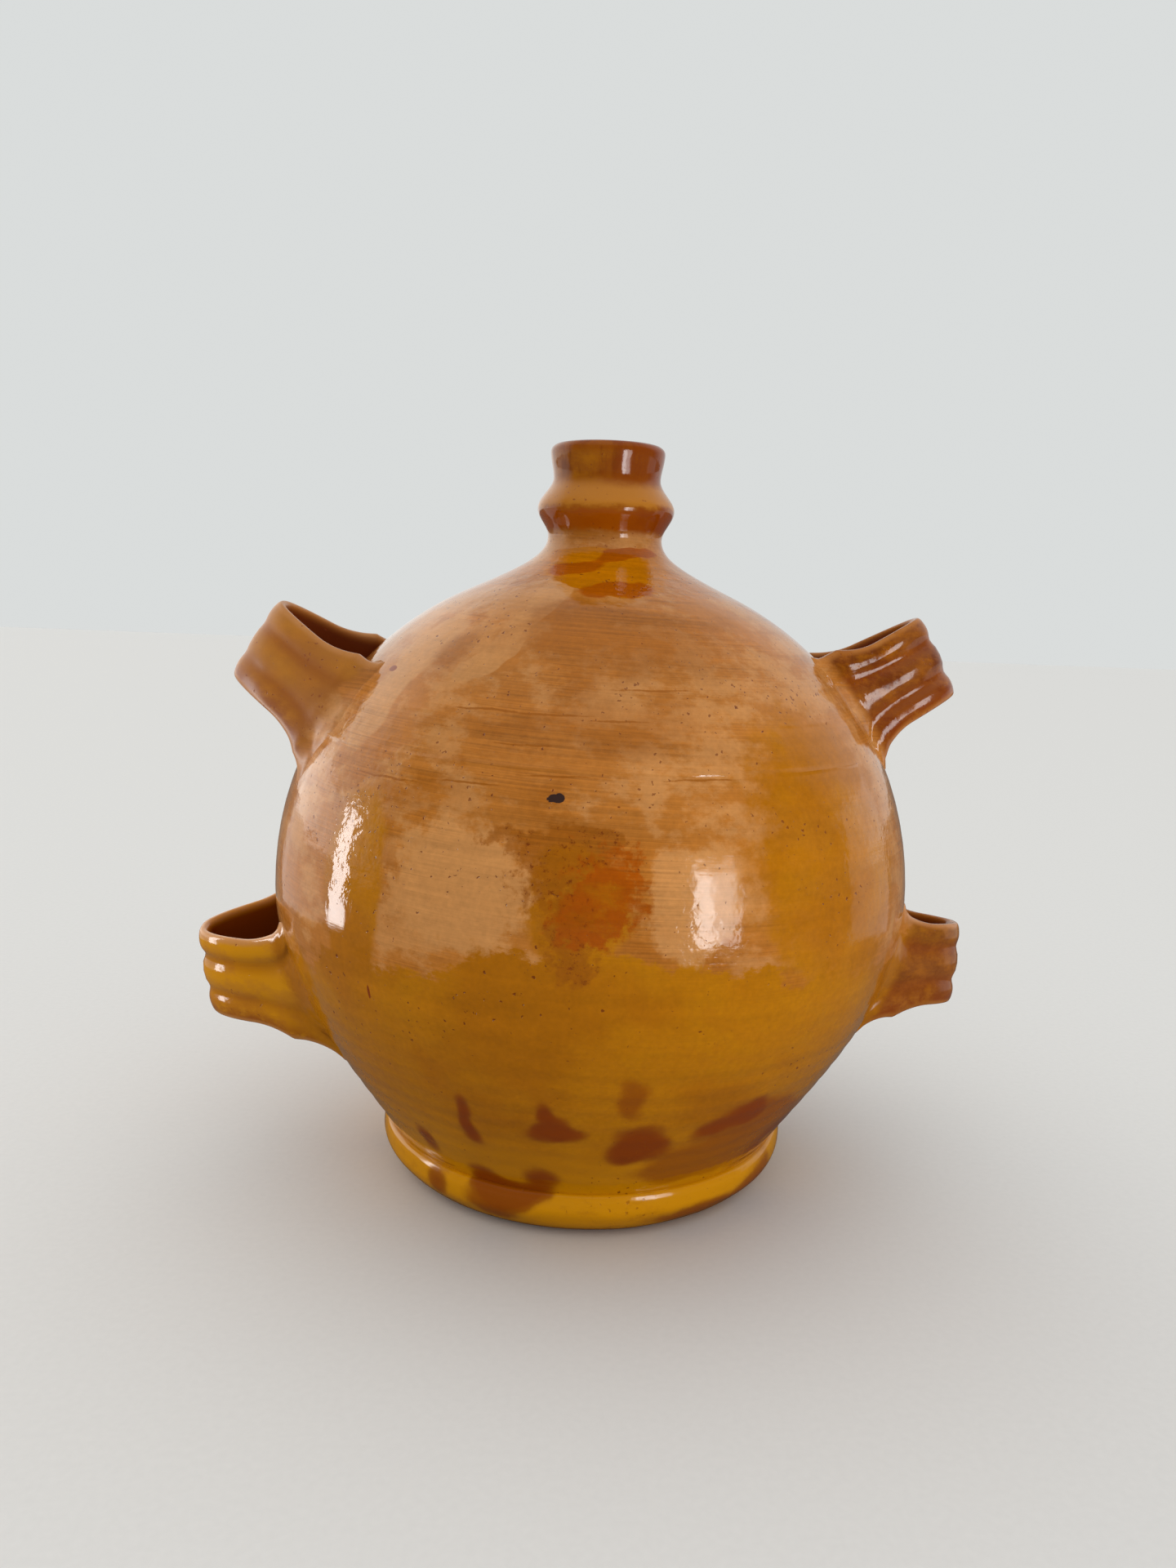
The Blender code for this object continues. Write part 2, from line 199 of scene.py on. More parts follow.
class JarSizes(bpy.types.PropertyGroup):
    """Sizes of the thrown and pulled pieces."""

    belly_radius: length("Belly radius", "Radius of the body at its widest", BOWL_BOX[1][1])
    belly_height: length("Belly height", "Height of the widest part above the floor", 0.114)
    wall: length("Wall", "Thickness of the thrown wall", 0.007)
    seam_height: length("Seam height", "Height of the seam between the two halves", DOME_BOX[0][2])
    lower_fullness: length("Lower fullness", "How far the belly runs down before it draws in", 0.036)
    waist_radius: length("Waist radius", "Radius of the wall on the flange", 0.0786)
    waist_draw: length("Waist draw", "Length of the straight pull above the waist", 0.030)
    foot_radius: length("Foot radius", "Radius of the flat underside", 0.0703)
    flange_radius: length("Flange radius", "Radius of the foot's flange", FOOT_BOX[1][0])
    flange_height: length("Flange height", "Height of the flange's top", 0.018)
    floor: length("Floor", "Thickness of the jar's floor", 0.009)
    shoulder_radius: length("Shoulder radius", "Radius where the dome turns up into the neck", 0.0507)
    neck_rise: length("Neck rise", "Height of the neck's waist above the shoulder", 0.0205)
    neck_waist: length("Neck waist", "Radius of the neck's waist", 0.0221)
    bead_radius: length("Bead radius", "Radius of the bead", NECK_BOX[1][0])
    bead_rise: length("Bead rise", "Height of the bead above the waist", 0.0105)
    throat_radius: length("Throat radius", "Radius between bead and lip", 0.0207)
    throat_rise: length("Throat rise", "Height of the throat above the waist", 0.022)
    lip_radius: length("Lip radius", "Radius of the lip", 0.0220)
    lip_round: length("Lip round", "Height of the lip's roll", 0.003)
    bore_radius: length("Bore radius", "Radius of the mouth", 0.0145)
    lean: length("Lean", "How far the neck stands off the axis", 0.0009)
    wobble: length("Wobble", "Depth of the unevenness left by the hands", 0.0007)
    foot_wobble: length("Foot wobble", "Depth of the unevenness of the flange", 0.0013)
    ring_depth: length("Ring depth", "Depth of the throwing rings", 0.00018)
    ring_pitch: length("Ring pitch", "Spacing of the throwing rings", 0.0075)
    ridge: length("Ridge", "Height of the smoothed seam", 0.00040)
    strap_thickness: length("Strap thickness", "Thickness of the pulled straps", 0.0058)
    flute_depth: length("Flute depth", "Depth of the grooves that the fingers leave", 0.0021)
    root_depth: length("Root depth", "How deep the loop's line runs into the wall", 0.010)
    root_length: length("Root length", "Length of the spread end of a strap", 0.016)
    root_fillet: length("Root fillet", "Radius of the smear from strap to wall", 0.0075)


class JarColours(bpy.types.PropertyGroup):
    """Colours of the fired glaze."""

    amber: colour("Amber", "Thick glaze on the lower body", (0.400, 0.132, 0.0004))
    mustard: colour("Mustard", "Yellow glaze on the flange and in pools", (0.620, 0.255, 0.0010))
    # Painted reflection: the honey colour of the reflection below the neck.
    pool: colour("Pool", "Thick honey glaze brushed on below the neck", (0.465, 0.150, 0.0006))
    # Tan on the upper body is partly a painted pale reflection of the room. Beige is partly slip and partly
    # painted sheen, glints and window reflections.
    tan: colour("Tan", "Thin glaze on the shoulder", (0.465, 0.165, 0.025))
    pale_slip_and_sheen: colour("Beige", "Slip showing through thin glaze", (0.575, 0.260, 0.080))
    honey_brown: colour("Honey brown", "Brown clouds in the glaze", (0.300, 0.084, 0.002))
    rust: colour("Rust", "Iron-rich runs and specks", (0.240, 0.040, 0.0006))
    orange: colour("Orange brown", "Burnt patch on the belly", (0.350, 0.072, 0.0003))
    strap_brown: colour("Strap brown", "Glaze on the straps", (0.130, 0.023, 0.0006))
    # Partly painted shade: dark brown for the inside of the loops, darkened for the shade there as well as
    # for thick glaze. It also paints specks, crackle and the jar's inside.
    dark_glaze_and_shade: colour("Strap inside", "Thick glaze inside the loops", (0.130, 0.016, 0.002))
    clay: colour("Clay", "Bare fired clay", (0.40, 0.16, 0.075))
    chip: colour("Chip", "Dark body showing in a chip", (0.040, 0.011, 0.006))


# Outlines: lists of (radius, height) points that run downwards on the outside.
# The pulls and the lean place the inner control points of the curves. The neck ends at the joint's step.
FILLET_PULL = 0.33
SHOULDER_PULL = 0.72
WAIST_LEAN = 0.625
FILLET_STEPS = 45
JOINT_STEP = 15
LOWER_STEPS = 120
DOME_STEPS = 130
BELLY_STEPS = 80
LIP_STEPS = 16
COLLAR_STEPS = 24


def bezier(start, first, second, end, count):
    """Points along a cubic curve, both ends included."""
    points = []
    for step in range(count + 1):
        t = step / count
        weights = ((1 - t) ** 3, 3 * (1 - t) ** 2 * t, 3 * (1 - t) * t * t, t ** 3)
        corners = (start, first, second, end)
        points.append(tuple(sum(w * c[axis] for w, c in zip(weights, corners)) for axis in (0, 1)))
    return points


def ball_arc(centre, radius, top, bottom, count):
    """The side of a ball from one height to another."""
    high = math.asin((top - centre) / radius)
    low = math.asin((bottom - centre) / radius)
    angles = [high + (low - high) * step / count for step in range(count + 1)]
    return [(radius * math.cos(a), centre + radius * math.sin(a)) for a in angles]


def swell(start, end, count):
    """A hollow or a bulge between two extremes, without its first point."""
    points = []
    for step in range(1, count + 1):
        t = step / count
        ease = (1 - math.cos(math.pi * t)) / 2
        points.append((start[0] + (end[0] - start[0]) * ease, start[1] + (end[1] - start[1]) * t))
    return points


def half_roll(outer, inner, height, rise, count):
    """A rolled edge from an inner radius over the top to an outer one."""
    middle = (outer + inner) / 2
    half = (outer - inner) / 2
    angles = [math.pi * (1 - step / count) for step in range(count + 1)]
    return [(middle + half * math.cos(a), height + rise * math.sin(a)) for a in angles]


def offset(points, distance):
    """An outline moved towards the axis along its normals."""
    moved = []
    for index, point in enumerate(points):
        before = points[max(index - 1, 0)]
        after = points[min(index + 1, len(points) - 1)]
        along = (after[0] - before[0], after[1] - before[1])
        size = math.hypot(*along)
        moved.append((point[0] + along[1] / size * distance, point[1] - along[0] / size * distance))
    return moved


class Outline:
    """The jar's turned outline, piece by piece, from the sizes."""

    def __init__(self, s):
        shoulder = s.belly_height + math.sqrt(s.belly_radius ** 2 - s.shoulder_radius ** 2)
        slope = s.shoulder_radius / (shoulder - s.belly_height)
        pull = SHOULDER_PULL * (s.shoulder_radius - s.neck_waist)
        waist = shoulder + s.neck_rise
        fillet = bezier(
            (s.neck_waist, waist),
            (s.neck_waist, waist - FILLET_PULL * s.neck_rise),
            (s.shoulder_radius - pull, shoulder + pull * slope),
            (s.shoulder_radius, shoulder),
            FILLET_STEPS,
        )
        lower = bezier(
            (s.belly_radius, s.belly_height),
            (s.belly_radius, s.belly_height - s.lower_fullness),
            (s.waist_radius + WAIST_LEAN * s.waist_draw, s.flange_height + s.waist_draw),
            (s.waist_radius, s.flange_height),
            LOWER_STEPS,
        )
        lip = NECK_BOX[1][2] - s.lip_round
        extremes = (
            (s.lip_radius, lip),
            (s.throat_radius, waist + s.throat_rise),
            (s.bead_radius, waist + s.bead_rise),
            (s.neck_waist, waist),
        )
        collar = half_roll(s.lip_radius, s.bore_radius, lip, s.lip_round, LIP_STEPS)
        for start, end in zip(extremes, extremes[1:]):
            collar += swell(start, end, COLLAR_STEPS)
        ball = (s.belly_height, s.belly_radius)
        self.waist = waist
        self.neck = collar + fillet[1:JOINT_STEP + 1]
        self.dome = fillet[JOINT_STEP:-1] + ball_arc(*ball, shoulder, s.seam_height, DOME_STEPS)
        self.bowl = ball_arc(*ball, s.seam_height, s.belly_height, BELLY_STEPS)[:-1] + lower
        body = fillet[:JOINT_STEP] + self.dome + self.bowl[1:]
        self.heights = [point[1] for point in reversed(body)]
        self.radii = [point[0] for point in reversed(body)]

    def radius(self, height):
        """The body's radius at a height."""
        index = min(max(bisect.bisect(self.heights, height), 1), len(self.heights) - 1)
        z0, z1 = self.heights[index - 1:index + 1]
        r0, r1 = self.radii[index - 1:index + 1]
        return r0 + (r1 - r0) * (height - z0) / (z1 - z0)

    def wall(self, point):
        """How far a point stands off the body, and the body's outward normal there."""
        step = 0.0005
        lean = (self.radius(point.z + step) - self.radius(point.z - step)) / (2 * step)
        around = Vector((point.x, point.y, 0.0))
        normal = (around.normalized() - Vector((0.0, 0.0, lean))).normalized()
        return (around.length - self.radius(point.z)) / math.hypot(1.0, lean), normal


# Node trees: short calls that add nodes to one tree and link them.
FLOAT = "NodeSocketFloat"
VECTOR = "NodeSocketVector"
GEOMETRY = "NodeSocketGeometry"


class Tree:
    def __init__(self, tree):
        self.tree = tree

    def node(self, kind, inputs=(), **settings):
        node = self.tree.nodes.new(kind)
        for name, value in settings.items():
            setattr(node, name, value)
        for name, value in dict(inputs).items():
            self.feed(node.inputs[name], value)
        return node

    def feed(self, socket, value):
        if isinstance(value, bpy.types.NodeSocket):
            self.tree.links.new(value, socket)
        else:
            socket.default_value = value

    def math(self, operation, *values, clamp=False):
        inputs = enumerate(values)
        return self.node("ShaderNodeMath", inputs, operation=operation, use_clamp=clamp).outputs[0]

    def times(self, *values):
        return functools.reduce(functools.partial(self.math, "MULTIPLY"), values)

    def plus(self, *values):
        return functools.reduce(functools.partial(self.math, "ADD"), values)

    def less(self, first, second):
        return self.math("SUBTRACT", first, second)

    def rest(self, mask):
        """What a mask leaves free."""
        return self.less(1.0, mask)

    def linear(self, value, factor, base):
        """A value times a factor, on top of a base."""
        return self.math("MULTIPLY_ADD", value, factor, base)

    def centred(self, value, swing):
        """A noise that swings round 0 instead of round 0.5."""
        return self.times(self.less(value, 0.5), swing)

    def vector(self, operation, first, second, output=0):
        return self.node("ShaderNodeVectorMath", {0: first, 1: second}, operation=operation).outputs[output]

    def split(self, vector):
        return self.node("ShaderNodeSeparateXYZ", {0: vector}).outputs

    def join(self, *parts):
        return self.node("ShaderNodeCombineXYZ", enumerate(parts)).outputs[0]

    def turn(self, x, y):
        """The azimuth of a place, from the front, in radians."""
        return self.math("ARCTAN2", x, self.times(y, -1.0))

    def smooth(self, value, low, high):
        """0 below low, 1 above high and eased between. Low may be the larger."""
        inputs = {"Value": value, "From Min": low, "From Max": high}
        return self.node("ShaderNodeMapRange", inputs, interpolation_type="SMOOTHSTEP").outputs[0]

    def noise(self, vector, scale, detail=2.0, roughness=0.5, output=0):
        inputs = {"Vector": vector, "Scale": scale, "Detail": detail, "Roughness": roughness}
        return self.node("ShaderNodeTexNoise", inputs).outputs[output]

    def stretched(self, vector, stretch, detail, roughness):
        """A noise with its own scale along each axis."""
        return self.noise(self.vector("MULTIPLY", vector, stretch), 1.0, detail, roughness)

    def mix(self, factor, first, second, blend="MIX"):
        inputs = {0: factor, 6: first, 7: second}
        return self.node("ShaderNodeMix", data_type="RGBA", blend_type=blend, inputs=inputs).outputs[2]

    def shade(self, colour_socket, factor):
        """A colour made darker or lighter by a factor."""
        return self.mix(1.0, colour_socket, factor, "MULTIPLY")

    def group(self, group, inputs):
        return self.node("ShaderNodeGroup", inputs, node_tree=group).outputs


def new_group(name, kind, inputs, outputs):
    """A node group. Inputs are numbers to start at or else socket types, outputs are socket types."""
    group = bpy.data.node_groups.new(name, kind)
    for socket, given in inputs.items():
        socket_type = given if isinstance(given, str) else FLOAT
        made = group.interface.new_socket(socket, in_out="INPUT", socket_type=socket_type)
        if socket_type != given:
            made.default_value = given
    for socket, socket_type in outputs.items():
        group.interface.new_socket(socket, in_out="OUTPUT", socket_type=socket_type)
    tree = Tree(group)
    return group, tree, tree.node("NodeGroupInput").outputs, tree.node("NodeGroupOutput").inputs


def blotch_group():
    """An oval's field on the jar's side, placed by azimuth and height, strongest inside."""
    group, tree, given, out = new_group(
        "glaze_blotch",
        "ShaderNodeTree",
        {"Vector": VECTOR, "Azimuth": 0.0, "Height": 0.0, "Half Width": 0.01, "Half Height": 0.01,
         "Weight": 1.0},
        {"Field": FLOAT},
    )
    x, y, z = tree.split(given["Vector"])
    away = tree.less(tree.turn(x, y), tree.math("RADIANS", given["Azimuth"]))
    wrapped = tree.math("WRAP", away, math.pi, -math.pi)
    radius = tree.math("SQRT", tree.plus(tree.times(x, x), tree.times(y, y)))
    across = tree.math("DIVIDE", tree.times(wrapped, radius), given["Half Width"])
    up = tree.math("DIVIDE", tree.less(z, given["Height"]), given["Half Height"])
    square = tree.plus(tree.times(across, across), tree.times(up, up))
    inside = tree.math("SUBTRACT", 1.0, tree.times(square, 0.25), clamp=True)
    tree.feed(out["Field"], tree.times(inside, inside, given["Weight"]))
    return group


# Where an oval's field makes the edge of a blotch.
BLOTCH_EDGE = 0.56
# How much a throwing line climbs round the jar.
LINE_TILT = 0.045
GLAZE_IOR = 1.45
SPECK_SCALE = 330.0
DUST_SCALE = 640.0
SPECK_JITTER = (0.0016, 0.0016, 0.0016)


def surface_group():
    """What the fired surface shows everywhere: clouds, turning lines, specks and relief."""
    names = ("Clouds", "Mottle", "Patches", "Grain", "Turning", "Bands", "Specks", "Relief")
    group, tree, given, out = new_group(
        "fired_surface",
        "ShaderNodeTree",
        {"Vector": VECTOR, "Waves": 0.00026, "Lines": 0.00003, "Pits": 0.0001},
        dict.fromkeys(names, FLOAT),
    )
    vector, waves = given["Vector"], given["Waves"]
    x, y, z = tree.split(vector)
    tilted = tree.join(x, y, tree.linear(x, LINE_TILT, z))
    turning = tree.stretched(tilted, (13.0, 13.0, 1500.0), 4.0, 0.7)
    bands = tree.stretched(tilted, (7.0, 7.0, 170.0), 2.0, 0.5)
    clouds = tree.noise(vector, 22.0, 3.0, 0.55)
    mottle = tree.stretched(tilted, (75.0, 75.0, 135.0), 6.0, 0.70)
    patches = tree.stretched(tilted, (36.0, 36.0, 62.0), 7.0, 0.66)
    grain = tree.noise(vector, 520.0, 3.0, 0.6)
    # Specks and finer dust, each in its own cell.
    jitter = tree.noise(vector, 900.0, 1.0, output="Color")
    bent = tree.vector("ADD", vector, tree.vector("MULTIPLY", jitter, SPECK_JITTER))

    def cells(scale, channel):
        """Distance to the middle of a cell, and a random number of that cell."""
        inputs = {"Vector": bent, "Scale": scale, "Randomness": 1.0}
        found = tree.node("ShaderNodeTexVoronoi", inputs).outputs
        parts = tree.node("ShaderNodeSeparateColor", {0: found["Color"]}).outputs
        return found["Distance"], parts[channel]

    distance, kind = cells(SPECK_SCALE, 0)
    thick = tree.smooth(tree.noise(vector, 34.0), 0.36, 0.70)
    size = tree.times(thick, kind, 0.17)
    specks = tree.smooth(distance, tree.plus(size, 0.05), size)
    distance, kind = cells(DUST_SCALE, 1)
    size = tree.times(tree.smooth(kind, 0.62, 1.0), tree.smooth(patches, 0.42, 0.66))
    size = tree.times(size, tree.linear(tree.smooth(z, 0.11, 0.16), 0.25, 0.13))
    dust = tree.smooth(distance, tree.plus(size, 0.04), size)
    specks = tree.math("MAXIMUM", specks, tree.times(dust, 0.8))
    # Relief in metres.
    relief = tree.times(tree.noise(vector, 85.0, 2.0, 0.45), waves)
    peel = tree.times(tree.smooth(clouds, 0.36, 0.60), waves, 0.60)
    relief = tree.linear(tree.noise(vector, 320.0), peel, relief)
    relief = tree.linear(turning, given["Lines"], relief)
    relief = tree.less(relief, tree.times(specks, given["Pits"]))
    for name, value in zip(names, (clouds, mottle, patches, grain, turning, bands, specks, relief)):
        tree.feed(out[name], value)
    return group


def rgba(colour_value):
    return (*colour_value, 1.0)


def shared_group(name, build):
    return bpy.data.node_groups.get(name) or build()


class Glaze:
    """One piece's glaze material, with the shared surface in it and a base that marks are laid over."""

    def __init__(self, name, waves=0.00026, lines=0.00002):
        self.material = bpy.data.materials.new(name)
        self.material.use_nodes = True
        self.tree = Tree(self.material.node_tree)
        self.shader = self.material.node_tree.nodes["Principled BSDF"]
        self.shader.inputs["IOR"].default_value = GLAZE_IOR
        self.vector = self.tree.node("ShaderNodeTexCoord").outputs["Object"]
        self.height = self.tree.split(self.vector)[2]
        relief = {"Vector": self.vector, "Waves": waves, "Lines": lines}
        self.surface = self.tree.group(shared_group("fired_surface", surface_group), relief)
        self.base = None

    def attribute(self, name):
        return self.tree.node("ShaderNodeAttribute", attribute_name=name).outputs["Fac"]

    def hidden(self):
        """The mask of what lies inside the jar."""
        return self.tree.rest(self.attribute("shown"))

    def field(self, places, ragged, warp, grain):
        """The summed field of several ovals that run together, with a wandering and ragged edge."""
        tree = self.tree
        wander = tree.noise(self.vector, grain * 0.5, 1.0, output="Color")
        shift = tree.vector("SUBTRACT", wander, (0.5, 0.5, 0.5))
        shift = tree.vector("MULTIPLY", shift, (2 * warp, 2 * warp, 2 * warp))
        bent = tree.vector("ADD", self.vector, shift)
        field = tree.centred(tree.noise(self.vector, grain * 1.7, 4.0, 0.65), ragged)
        names = ("Azimuth", "Height", "Half Width", "Half Height", "Weight")
        for place in places:
            inputs = dict(zip(names, place), Vector=bent)
            field = tree.plus(field, tree.group(shared_group("glaze_blotch", blotch_group), inputs)["Field"])
        return field

    def blotches(self, places, ragged, softness, warp, grain):
        """The mask of several ovals, from their field."""
        field = self.field(places, ragged, warp, grain)
        return self.tree.smooth(field, BLOTCH_EDGE - softness, BLOTCH_EDGE + softness)

    def cover(self, mask, paint, strength=1.0):
        """Lays a colour over the base where the mask is."""
        if strength != 1.0:
            mask = self.tree.times(mask, strength)
        self.base = self.tree.mix(mask, self.base, rgba(paint))

    def paint_runs(self, places, brown, red, depth, c):
        """Runs with brown edges and red insides. Brown gives low, high and strength, red low and high."""
        tree = self.tree
        runs = self.field(places, ragged=0.26, warp=0.0022, grain=150.0)
        self.cover(tree.smooth(runs, brown[0], brown[1]), c.honey_brown, brown[2])
        inside = tree.linear(tree.smooth(runs, 0.55, 1.20), 0.25, depth)
        self.cover(tree.times(tree.smooth(runs, red[0], red[1]), inside), c.rust)

    def merge_body(self, mask, c):
        """Goes over to the body's colours where the mask is."""
        own = self.base
        body_colour(self, c)
        self.base = self.tree.mix(mask, own, self.base)

    def finish(self, roughness):
        self.tree.feed(self.shader.inputs["Base Color"], self.base)
        self.tree.feed(self.shader.inputs["Roughness"], roughness)
        bump = self.tree.node("ShaderNodeBump", {"Height": self.surface["Relief"]})
        bump.inputs["Strength"].default_value = 1.0
        bump.inputs["Distance"].default_value = 1.0
        self.tree.feed(self.shader.inputs["Normal"], bump.outputs["Normal"])
        return self.material


# Heights between which the thick lower glaze ends and the tan above it begins, partly thin glaze and partly
# a painted pale reflection of the room; how far that line sags round the sides, and the azimuth in radians
# at which it stands highest.
GLAZE_AND_SHEEN_LINE = (0.1212, 0.1252)
GLAZE_SAG = 0.025
SAG_MIDDLE = 0.09


def body_colour(glaze, c):
    """The thrown body's glaze: amber below, tan above that is partly a painted pale reflection of the room,
    with pools, streaks, clouds, turning lines and a painted reflection below the neck.
    """
    tree, surface = glaze.tree, glaze.surface
    clouds, mottle, patches = surface["Clouds"], surface["Mottle"], surface["Patches"]
    # Thick glaze below and in pools, thin glaze above, where the tan is also a painted pale reflection of
    # the room.
    x, y, _ = tree.split(glaze.vector)
    sag = tree.math("ABSOLUTE", tree.less(tree.turn(x, y), SAG_MIDDLE))
    level = tree.plus(glaze.height, tree.centred(clouds, 0.035), tree.centred(mottle, 0.030))
    level = tree.linear(tree.math("MINIMUM", sag, 1.0), GLAZE_SAG, level)
    # Painted reflection: above the line the tan stands partly for the pale room reflected; on the front the
    # pools keep amber where dark things are reflected.
    pools = glaze.blotches(POOLS_AND_DARK_REFLECTIONS, ragged=0.5, softness=0.16, warp=0.006, grain=70.0)
    upper = tree.times(tree.smooth(level, *GLAZE_AND_SHEEN_LINE), tree.rest(tree.times(pools, 0.95)))
    deep = tree.mix(tree.times(tree.smooth(clouds, 0.40, 0.62), 0.36), rgba(c.amber), rgba(c.mustard))
    glaze.base = tree.mix(upper, deep, rgba(c.tan))
    # Pale slip that is partly a painted sheen, painted reflections of the windows, and brown clouds.
    glaze.cover(tree.times(tree.smooth(patches, 0.46, 0.58), upper), c.pale_slip_and_sheen, 0.78)
    # Painted reflection of the windows, as two pale patches.
    thin = glaze.blotches(WINDOW_SHEEN_PATCHES, ragged=0.7, softness=0.10, warp=0.005, grain=110.0)
    glaze.cover(thin, c.pale_slip_and_sheen, 0.95)
    streaks = glaze.blotches(PALE_STREAKS, ragged=0.35, softness=0.10, warp=0.004, grain=90.0)
    glaze.cover(streaks, c.pale_slip_and_sheen, 0.92)
    brown = tree.times(tree.smooth(clouds, 0.46, 0.68), tree.smooth(mottle, 0.40, 0.56))
    shades = glaze.blotches(BROWN_SHADES, ragged=0.9, softness=0.40, warp=0.010, grain=60.0)
    brown = tree.math("MAXIMUM", brown, shades)
    brown = tree.times(brown, tree.linear(upper, 0.6, 0.4), tree.linear(thin, -0.6, 1.0))
    glaze.cover(brown, c.honey_brown, 0.58)
    # The burnt patch on the belly and the painted reflection below the neck.
    halo = glaze.blotches(BURNT_HALO, ragged=1.7, softness=0.24, warp=0.006, grain=170.0)
    glaze.cover(halo, c.honey_brown, 0.70)
    core = glaze.blotches(BURNT_CORE, ragged=2.0, softness=0.22, warp=0.007, grain=190.0)
    glaze.cover(tree.times(core, tree.linear(tree.smooth(mottle, 0.38, 0.58), 0.4, 0.6)), c.orange)
    crackle = tree.smooth(tree.noise(glaze.vector, 480.0, 6.0, 0.75), 0.54, 0.66)
    glaze.cover(tree.times(crackle, halo), c.dark_glaze_and_shade, 0.7)
    # Painted reflection below the neck, honey with dark brown edges.
    glaze.cover(glaze.blotches(NECK_REFLECTION, ragged=0.25, softness=0.06, warp=0.002, grain=160.0), c.pool)
    reflection_edges = glaze.blotches(NECK_REFLECTION_EDGES, ragged=0.35, softness=0.14, warp=0.002, grain=200.0)
    glaze.cover(reflection_edges, c.orange, 0.9)
    # Turning lines and grain.
    broken = tree.times(tree.smooth(patches, 0.58, 0.44), tree.smooth(clouds, 0.38, 0.56))
    fine = tree.centred(tree.smooth(surface["Turning"], 0.30, 0.70), 0.37)
    fine = tree.times(fine, tree.linear(broken, 0.75, 0.25), tree.linear(upper, 0.8, 0.2))
    broad = tree.centred(surface["Bands"], 0.28)
    grain = tree.plus(tree.centred(mottle, 0.34), tree.centred(surface["Grain"], 0.36))
    glaze.base = tree.shade(glaze.base, tree.plus(1.0, grain, fine, broad))


def body_glaze(c):
    """The body's colour with brown runs at the foot, specks and the few marks of wear."""
    glaze = Glaze("body_glaze")
    tree = glaze.tree
    body_colour(glaze, c)
    glaze.cover(tree.smooth(glaze.height, 0.056, 0.026), c.mustard, 0.55)
    glaze.cover(glaze.surface["Specks"], c.dark_glaze_and_shade, 0.75)
    faint = glaze.blotches(FAINT_RUNS, ragged=0.5, softness=0.30, warp=0.006, grain=90.0)
    glaze.cover(faint, c.rust, 0.64)
    glaze.paint_runs(DARK_RUNS, (0.12, 0.60, 0.60), (0.36, 0.82), 0.70, c)
    scratches = glaze.blotches(SCRATCHES, ragged=1.3, softness=0.30, warp=0.0006, grain=260.0)
    glaze.cover(scratches, c.honey_brown, 0.75)
    chips = glaze.blotches(CHIPS, ragged=0.8, softness=0.06, warp=0.0014, grain=420.0)
    glaze.cover(chips, c.chip)
    # Painted highlight: a pale glint on the belly's left.
    glaze.cover(glaze.blotches(PAINTED_GLINTS, ragged=0.4, softness=0.08, warp=0.0006, grain=420.0), c.pale_slip_and_sheen)
    glaze.cover(glaze.blotches(NICKS, ragged=0.2, softness=0.10, warp=0.0004, grain=300.0), c.rust)
    glaze.cover(glaze.hidden(), c.dark_glaze_and_shade)
    roughness = tree.linear(glaze.surface["Mottle"], 0.09, 0.02)
    return glaze.finish(tree.math("MAXIMUM", roughness, tree.times(chips, 0.5)))


def foot_glaze(c):
    """The flange: yellow glaze with brown runs, and a bare underside."""
    glaze = Glaze("foot_glaze", waves=0.00016)
    tree, mottle, height = glaze.tree, glaze.surface["Mottle"], glaze.height
    glaze.base = tree.mix(tree.smooth(height, 0.021, 0.0175), rgba(c.amber), rgba(c.mustard))
    glaze.cover(tree.smooth(mottle, 0.52, 0.70), c.honey_brown, 0.30)
    # Painted shade: the lowest few millimetres of the flange, above the bare underside, are darkened towards
    # the floor.
    glaze.cover(tree.smooth(height, 0.004, 0.0015), c.honey_brown, 0.5)
    glaze.paint_runs(FLANGE_RUNS, (0.22, 0.62, 0.50), (0.42, 0.72), 0.56, c)
    glaze.cover(glaze.surface["Specks"], c.rust, 0.45)
    bare = tree.smooth(tree.linear(mottle, 0.0016, height), 0.0017, 0.0010)
    glaze.cover(bare, c.clay)
    glaze.cover(tree.times(glaze.hidden(), tree.smooth(height, 0.004, 0.008)), c.dark_glaze_and_shade)
    return glaze.finish(tree.math("MAXIMUM", tree.linear(mottle, 0.12, 0.05), tree.times(bare, 0.75)))


